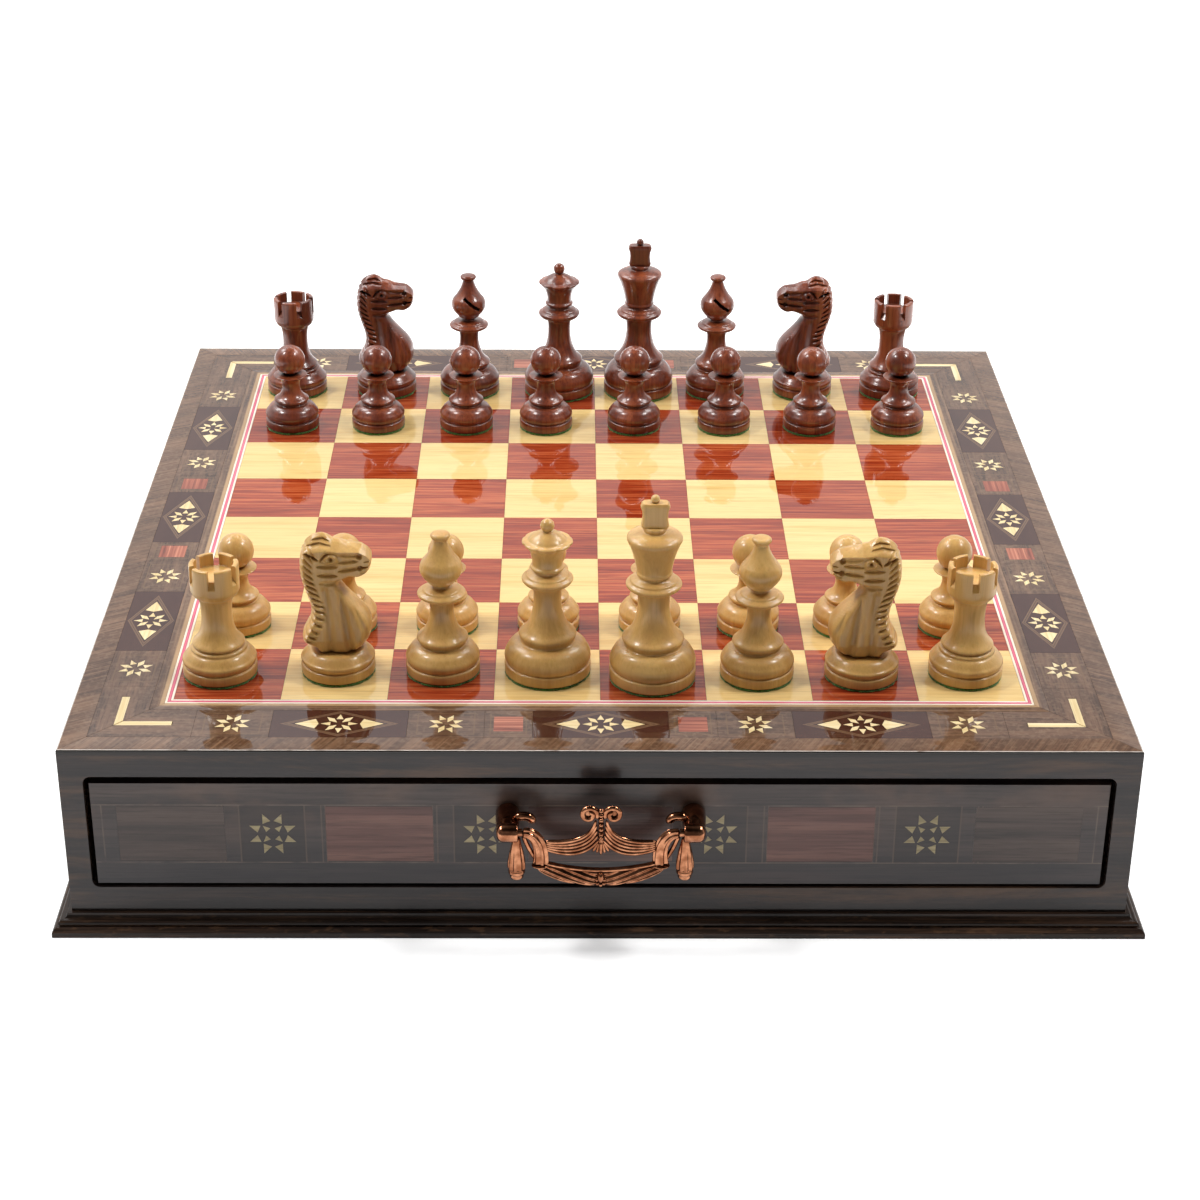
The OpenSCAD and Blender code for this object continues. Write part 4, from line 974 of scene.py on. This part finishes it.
def king():
    """The block's section is a rounded oblong, pinched at half height."""
    body = turned(
        foot(16.7, 5.2, 15, 11.2),
        [[11, 15.8], [11.8, 17], [12, 18], [11.3, 18.8]],
        bend([11.3, 18.8], [7, 22], [6.1, 31], 12),
        bend([6.1, 31], [5.9, 37.6], [7, 38.6], 10),
        [[9.9, 39.4], [10.8, 40.4], [10.7, 41.3], [9.2, 42], [9, 42.8], [7, 43.4]],
        [[6.2, 43.9], [6.2, 44.7], [7, 45.2], [7, 46]],
        bend([6.7, 46.4], [7.6, 53], [10.1, 58.4], 12),
        [[10.6, 59.4], [10.5, 60.4]],
        bend([10.5, 60.4], [9.6, 62], [4.4, 62.6], 10),
        [[4.2, 63], [4.6, 63.8], [4.4, 64.8], [0, 65]])
    z = np.array([64, 64, 64.6, 65.4, 67, 69.2, 71.4, 73, 74, 74.6, 74.6])
    half = np.array([0, 4.4, 4.8, 5.3, 4.95, 4.75, 4.95, 5.55, 5.3, 4.7, 0])
    deep = np.array([0, 2.4, 2.6, 2.8, 2.8, 2.8, 2.8, 2.8, 2.7, 2.4, 0])
    c, s = np.cos(circle(64)), np.sin(circle(64))
    block = np.stack([half[:, None] * np.sign(c) * abs(c) ** 0.45,
                      deep[:, None] * np.sign(s) * abs(s) ** 0.45, z[:, None] + 0 * c], -1)
    ball = spun(np.concatenate([[[0, 74.2]], arc(0, 75.9, 1.7, -60, 90, 12)]), 40)
    return [shell(body), shell(block), shell(ball)], 33.4


BACK_RAIL = np.array([
    [-7.4, 10.8], [-8.6, 14], [-12.9, 16.7], [-12.2, 19.4], [-10.2, 23.4], [-9.3, 27.4],
    [-9.7, 31.2], [-10.9, 35], [-12.2, 39.2], [-13, 43.2], [-13, 47.8], [-12.3, 52.2],
    [-10.6, 56.1], [-7.9, 58.5], [-4.6, 59.4], [-2.3, 58.6], [-0.4, 57.2], [2.4, 56.6],
    [5.2, 55.3], [8.2, 54.9], [10.8, 54.5], [12.7, 53], [13.9, 51.2]])
FRONT_RAIL = np.array([
    [8, 10.8], [10.4, 13.2], [12.6, 16.2], [13.6, 20.2], [13.2, 24], [11.4, 27.4], [8.6, 30.6], [5.8, 33.6],
    [3.5, 36.6], [2, 39.4], [2.7, 41.2], [4, 41.7], [5.3, 42.1], [6.6, 42.4], [7.8, 42.3], [9, 42],
    [10.2, 42.2], [11.4, 42.8], [12.6, 43.7], [13.5, 45], [14, 46.6], [14.3, 48.3], [14.3, 49.6]])


def flowing(points, n):
    """Points of a smooth curve through all those given."""
    t = np.linspace(0, len(points) - 1.0001, n)
    i = t.astype(int)
    f = (t - i)[:, None]
    p = np.concatenate([points[:1], points, points[-1:]])
    a, b, c, d = p[i], p[i + 1], p[i + 2], p[np.minimum(i + 3, len(p) - 1)]
    square, cube = 2 * a - 5 * b + 4 * c - d, 3 * b - a - 3 * c + d
    return 0.5 * (2 * b + (c - a) * f + square * f ** 2 + cube * f ** 3)


def groove(x, z, points, width):
    """1 on a broken line through the points, falling to 0 at the width, which
    itself dies away towards both ends of the line as under a gouge."""
    cut = np.zeros(np.shape(x))
    last = len(points) - 1
    for i in range(last):
        p, q = np.array(points[i], float), np.array(points[i + 1], float)
        d = q - p
        t = held(((x - p[0]) * d[0] + (z - p[1]) * d[1]) / (d @ d))
        far = np.hypot(x - p[0] - t * d[0], z - p[1] - t * d[1])
        reach = width * (0.3 + 0.7 * np.sqrt(np.sin(np.pi * (i + t) / last)))
        cut = np.maximum(cut, held(1 - far / reach) * reach / width)
    return cut * cut * (3 - 2 * cut)


def rounded(depth, radius):
    """A quarter circle: 0 at the edge, 1 from the radius inwards."""
    return np.sqrt(held(1 - (1 - held(depth / radius)) ** 2))


def horse():
    """A side view between two rails. At each point of it the half thickness is
    wall * roof * rounded(edges) + carving, where the roof planes the head
    off from the arris over the eye up to the crest."""
    n, around = 270, 160
    back, front = flowing(BACK_RAIL, n), flowing(FRONT_RAIL, n)
    s = np.linspace(0, len(BACK_RAIL) - 1, n)[:, None]
    a = circle(around)[None, :]
    t = (1 - np.cos(a)) / 2
    x = back[:, :1] + (front[:, :1] - back[:, :1]) * t
    z = back[:, 1:] + (front[:, 1:] - back[:, 1:]) * t
    span = np.hypot(front[:, :1] - back[:, :1], front[:, 1:] - back[:, 1:])
    from_back, from_front = t * span, (1 - t) * span

    mane = held((s - 1.9) / 0.3) * held((12.2 - s) / 0.4)
    tooth = held(1 - np.abs(np.mod(s * 1.5 + 0.15 * from_back, 1) - 0.5) / 0.3)
    comb = mane * tooth * held((6 - from_back) / 1.2)
    x = x + 0.8 * comb * np.exp(-from_back / 2)
    hatch = held(1 - np.abs(np.mod(s * 3.4 - 0.35 * from_front, 1) - 0.5) / 0.3)
    throat = held((s - 4.6) / 0.4) * held((9.2 - s) / 0.4)
    hair = hatch * throat * held((3 - from_front) / 2)

    crest = np.interp(x, BACK_RAIL[11:, 0], BACK_RAIL[11:, 1])
    arris = np.interp(x, [-13, -10, -2, 6, 10, 12.6, 14.3], [51.6, 53.4, 54.2, 53.5, 53.1, 51.4, 49.6])
    wall = np.interp(z, [10, 13, 17, 22, 30, 37, 42, 47, 60], [6.8, 7.8, 8.8, 8.4, 6.8, 5.8, 6, 6.3, 6.3])
    wall = wall * np.where(z > 40.5, np.interp(x, [-13, -8, 2, 8, 12, 14.3], [0.9, 1, 1, 0.8, 0.74, 0.66]), 1)
    rise = held((z - arris) / np.maximum(crest - arris, 0.5))
    roof = 1 - 0.84 * rise
    back_edge = np.interp(s, [0, 2, 11, 12.5, 22], [2.4, 2.2, 2.2, 1, 0.9])
    front_edge = np.interp(s, [0, 3, 5, 9, 10.5, 22], [5, 3.6, 4, 4, 1.3, 1.5])
    tip = rounded((s.max() - s) * 1.8, 1.8)
    under = 0.86 + 0.14 * rounded(z - 11.2, 2)
    half = wall * roof * rounded(from_back, back_edge) * rounded(from_front, front_edge) * tip * under

    eye = np.hypot((x + 0.7) / 1.3, z - 50.8)
    carving = 0.6 * np.exp(-((eye - 1.4) / 0.35) ** 2) + 0.4 * held(1 - eye / 1.3)
    carving -= 0.5 * np.exp(-((eye - 2.4) / 0.5) ** 2)
    for x0, z0, r, depth in ((-0.7, 50.8, 0.5, 1.5), (9.9, 51.4, 0.85, 1.6), (10.1, 46.4, 0.8, 1.6)):
        carving = carving - depth * held(1.6 - np.hypot(x - x0, z - z0) / r)
    for points, width, depth in (
        (((-1.4, 53.2), (-3, 52), (-5.4, 49.2)), 0.6, 1.2),
        (((-5.4, 50.2), (-8.2, 51.7), (-11.2, 52.6)), 0.9, 2.0),
        (((-1.4, 56.6), (-4, 57.6), (-7.8, 57.1)), 0.9, 1.3),
        (((-0.6, 55.2), (-5, 56.1), (-10, 55)), 1.0, 1.4),
        (((9.2, 51.4), (2.4, 52.4)), 1.1, 0.7),
        (((9.4, 49.4), (2, 49.2)), 1.0, 1.0),
        (((9.6, 46.2), (1.8, 45.6)), 1.1, 1.2),
        (((1.8, 47.6), (-6, 47.7)), 1.2, 1.3),
        (((1.6, 43.8), (-6, 43.9)), 1.2, 1.3),
        (((0.6, 40.4), (-5.4, 40.2)), 1.5, 0.9),
        (((10.1, 46.4), (14.6, 46.8)), 0.6, 1.4),
        (((11.6, 49), (14.6, 49.2)), 0.5, 0.6),
        (((9.8, 44.4), (13.6, 44.6)), 0.5, 0.4),
        (((6.2, 8), (4.8, 20), (1.8, 36)), 2.9, 1.6),
        (((-1.8, 8), (-2.2, 22), (-3.8, 40)), 3.2, 1.3),
        (((11.2, 13), (11.4, 21), (7.4, 30)), 1.6, 0.9),
    ):
        carving = carving - depth * groove(x, z, points, width)
    carving = carving - 1.2 * comb - 0.25 * hair
    y = np.sign(np.sin(a)) * np.maximum(half + carving * held(half / 2.5), 0)
    return np.stack([x, -y, z], -1)


def knight():
    """A turned foot with the carved horse on it."""
    base = turned(foot(14.3, 4.6, 10.6, 11.2), [[10.4, 11.1], [0, 11.3]])
    return [shell(base), shell(horse())], 28.6


# ------------------------ chessmen: set up
# Sixteen men a side on their opening squares, pale men in front. Each
# stands where a hand put it, a little off the middle of its square.

FORMS = {form.__name__: form() for form in (pawn, rook, bishop, queen, king, knight)}
BACK_ROW = ("rook_a", "knight_b", "bishop_c", "queen", "king", "bishop_f", "knight_g", "rook_h")
PAWN_ROW = tuple(f"pawn_{c}" for c in "abcdefgh")
TURNS = {"white": {"bishop": 180, "knight_g": 180}, "dark": {"rook": 22, "knight_g": 180}}
ROWS = (
    ("white", BACK_ROW, 0, (-5, 0, 0, 0, 0, 0, 0, 0), (1, 3, 3, 3, -2, 0, 0, 1)),
    ("white", PAWN_ROW, 1, (-2, 0, 0, 0, 0, -1, -3, -1), (0,) * 8),
    ("dark", PAWN_ROW, 6, (-1, -1, 0, -3, -2, 0, 0, 1), (0,) * 8),
    ("dark", BACK_ROW, 7, (-3, 0, 0, 3, 1, -2, 0, 2), (4,) * 8),
)

for side, names, row, off_x, off_y in ROWS:
    for col, name in enumerate(names):
        kind = name.split("_")[0]
        shells, width = FORMS[kind]
        felt = felt_disc(width, 100 * row + col)
        angle = math.radians(TURNS[side].get(name, TURNS[side].get(kind, 0)))
        verts, faces = joined_shells([(turned_about(v, angle), f) for v, f in shells] + [felt])
        place = [(col - 3.5) * SQUARE + off_x[col], (row - 3.5) * SQUARE + off_y[col], BOARD_TOP]
        kinds = (np.arange(len(faces)) >= len(faces) - len(felt[1])).astype(np.int32)
        slot = "boxwood" if side == "white" else "rosewood"
        node = f"{side}_{name}"
        man = piece(f"{node}_man", verts + place, faces, node, [woods[side], felt_green], slot, 40, kinds)
        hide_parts(node)

# ------------------------ room
# A pale floor that keeps the object's shadow, a white room that the lacquer
# mirrors, darker towards the viewer and overhead, two soft boxes with two
# lamps, a strip behind, a fill light from above, and the camera.

FLOOR = ((-6, -4, 0), (6, -4, 0), (6, 8, 0), (-6, 8, 0))
AIM = (0, 0, 0.08)
LAMPS = (
    ("left_box", (-1.1, 0.65, 1.5), 0.6, 0.6, 12.4),
    ("right_box", (1.1, 0.65, 1.5), 0.6, 0.6, 11.5),
    ("left_lamp", (-0.95, -0.15, 1.35), 0.28, 0.28, 9.9),
    ("right_lamp", (0.95, -0.15, 1.35), 0.28, 0.28, 9.9),
    ("rear_strip", (0, 0.9, 1.35), 1.7, 0.07, 6.5),
    ("fill", (0, -0.25, 1.7), 1.2, 1.2, 3.8),
)
LENS = 75.77
PITCH, YAW, ROLL = 27.196, 0.750, -0.493
STANDPOINT = (-0.0114, -0.99918, 0.0782 + 0.47307)


def pale_floor():
    """Near the object it is lit like it; far off it fades into the white room."""
    r = Recipe("pale_floor", roughness=0.9, under=0.0)
    grain = r.noise(40, detail=2)
    r.put(r.surface.inputs["Emission Color"], srgb(255, 255, 255))
    ray = r.tree.nodes.new("ShaderNodeLightPath").outputs
    seen = r.most(r.most(ray["Is Camera Ray"], ray["Is Glossy Ray"]), ray["Is Transmission Ray"])
    away = r.node("VectorMath", {0: r.place}, "Value", operation="LENGTH")
    distant = r.times(ray["Is Camera Ray"], r.spread(away, 0.6, 2.0))
    r.put(r.surface.inputs["Emission Strength"], r.times(seen, r.plus(0.45, r.times(distant, 0.55))))
    return r.finish(r.ramp(grain, (0, (243, 243, 243)), (1, (247, 247, 247))))


floor_mesh = bpy.data.meshes.new("floor")
floor_mesh.from_pydata(FLOOR, [], [(0, 1, 2, 3)])
floor_mesh.materials.append(pale_floor())
floor = bpy.data.objects.new("floor", floor_mesh)
bpy.context.scene.collection.objects.link(floor)

world = bpy.data.worlds.new("room")
bpy.context.scene.world = world
world.use_nodes = True
room = Shades(world.node_tree)
ray = room.tree.nodes.new("ShaderNodeLightPath").outputs
seen = room.most(ray["Is Glossy Ray"], ray["Is Transmission Ray"])
x, y, z = room.axes(room.tree.nodes.new("ShaderNodeTexCoord").outputs["Generated"])
behind = room.spread(room.times(y, -1.0), -0.25, 0.3, 1.0, 0.14)  # the viewer's side is dim
wall = room.times(room.most(behind, room.times(seen, 0.2)), room.spread(z, 0.6, 0.85, 1.0, 0.12))
higher = room.minus(1.0, room.spread(z, 0.46, 0.54, 1.0, 0.0))  # up there the left is brighter
uneven = room.minus(1.0, room.times(room.times(x, 4.0), higher))
wall = room.times(wall, room.math("MINIMUM", room.most(uneven, 0.4), 1.7))
lit = room.times(wall, room.plus(room.times(seen, 0.55), 0.45))
sky = room.tree.nodes["Background"].inputs
sky["Color"].default_value = (1, 1, 1, 1)
room.put(sky["Strength"], room.most(lit, ray["Is Camera Ray"]))

for name, place, width, height, watts in LAMPS:
    lamp = bpy.data.lights.new(name, "AREA")
    lamp.shape = "RECTANGLE"
    lamp.size = width
    lamp.size_y = height
    lamp.energy = watts
    obj = bpy.data.objects.new(name, lamp)
    obj.location = place
    obj.rotation_euler = Vector(np.subtract(place, AIM)).to_track_quat("Z", "Y").to_euler()
    obj.visible_glossy = name != "fill"
    bpy.context.scene.collection.objects.link(obj)

camera = bpy.data.cameras.new("camera")
camera.sensor_width = 36.0
camera.lens = LENS
viewer = bpy.data.objects.new("camera", camera)
bpy.context.scene.collection.objects.link(viewer)
pitch, yaw, roll = (math.radians(a) for a in (PITCH, YAW, ROLL))
s, c = math.sin(pitch), math.cos(pitch)
tilt = Matrix(((1, 0, 0), (0, s, c), (0, -c, s)))
to_camera = Matrix.Rotation(roll, 3, "Z") @ tilt @ Matrix.Rotation(yaw, 3, "Z")
viewer.matrix_world = Matrix.Translation(STANDPOINT) @ to_camera.transposed().to_4x4()
bpy.context.scene.camera = viewer
bpy.context.scene.view_settings.view_transform = "Standard"
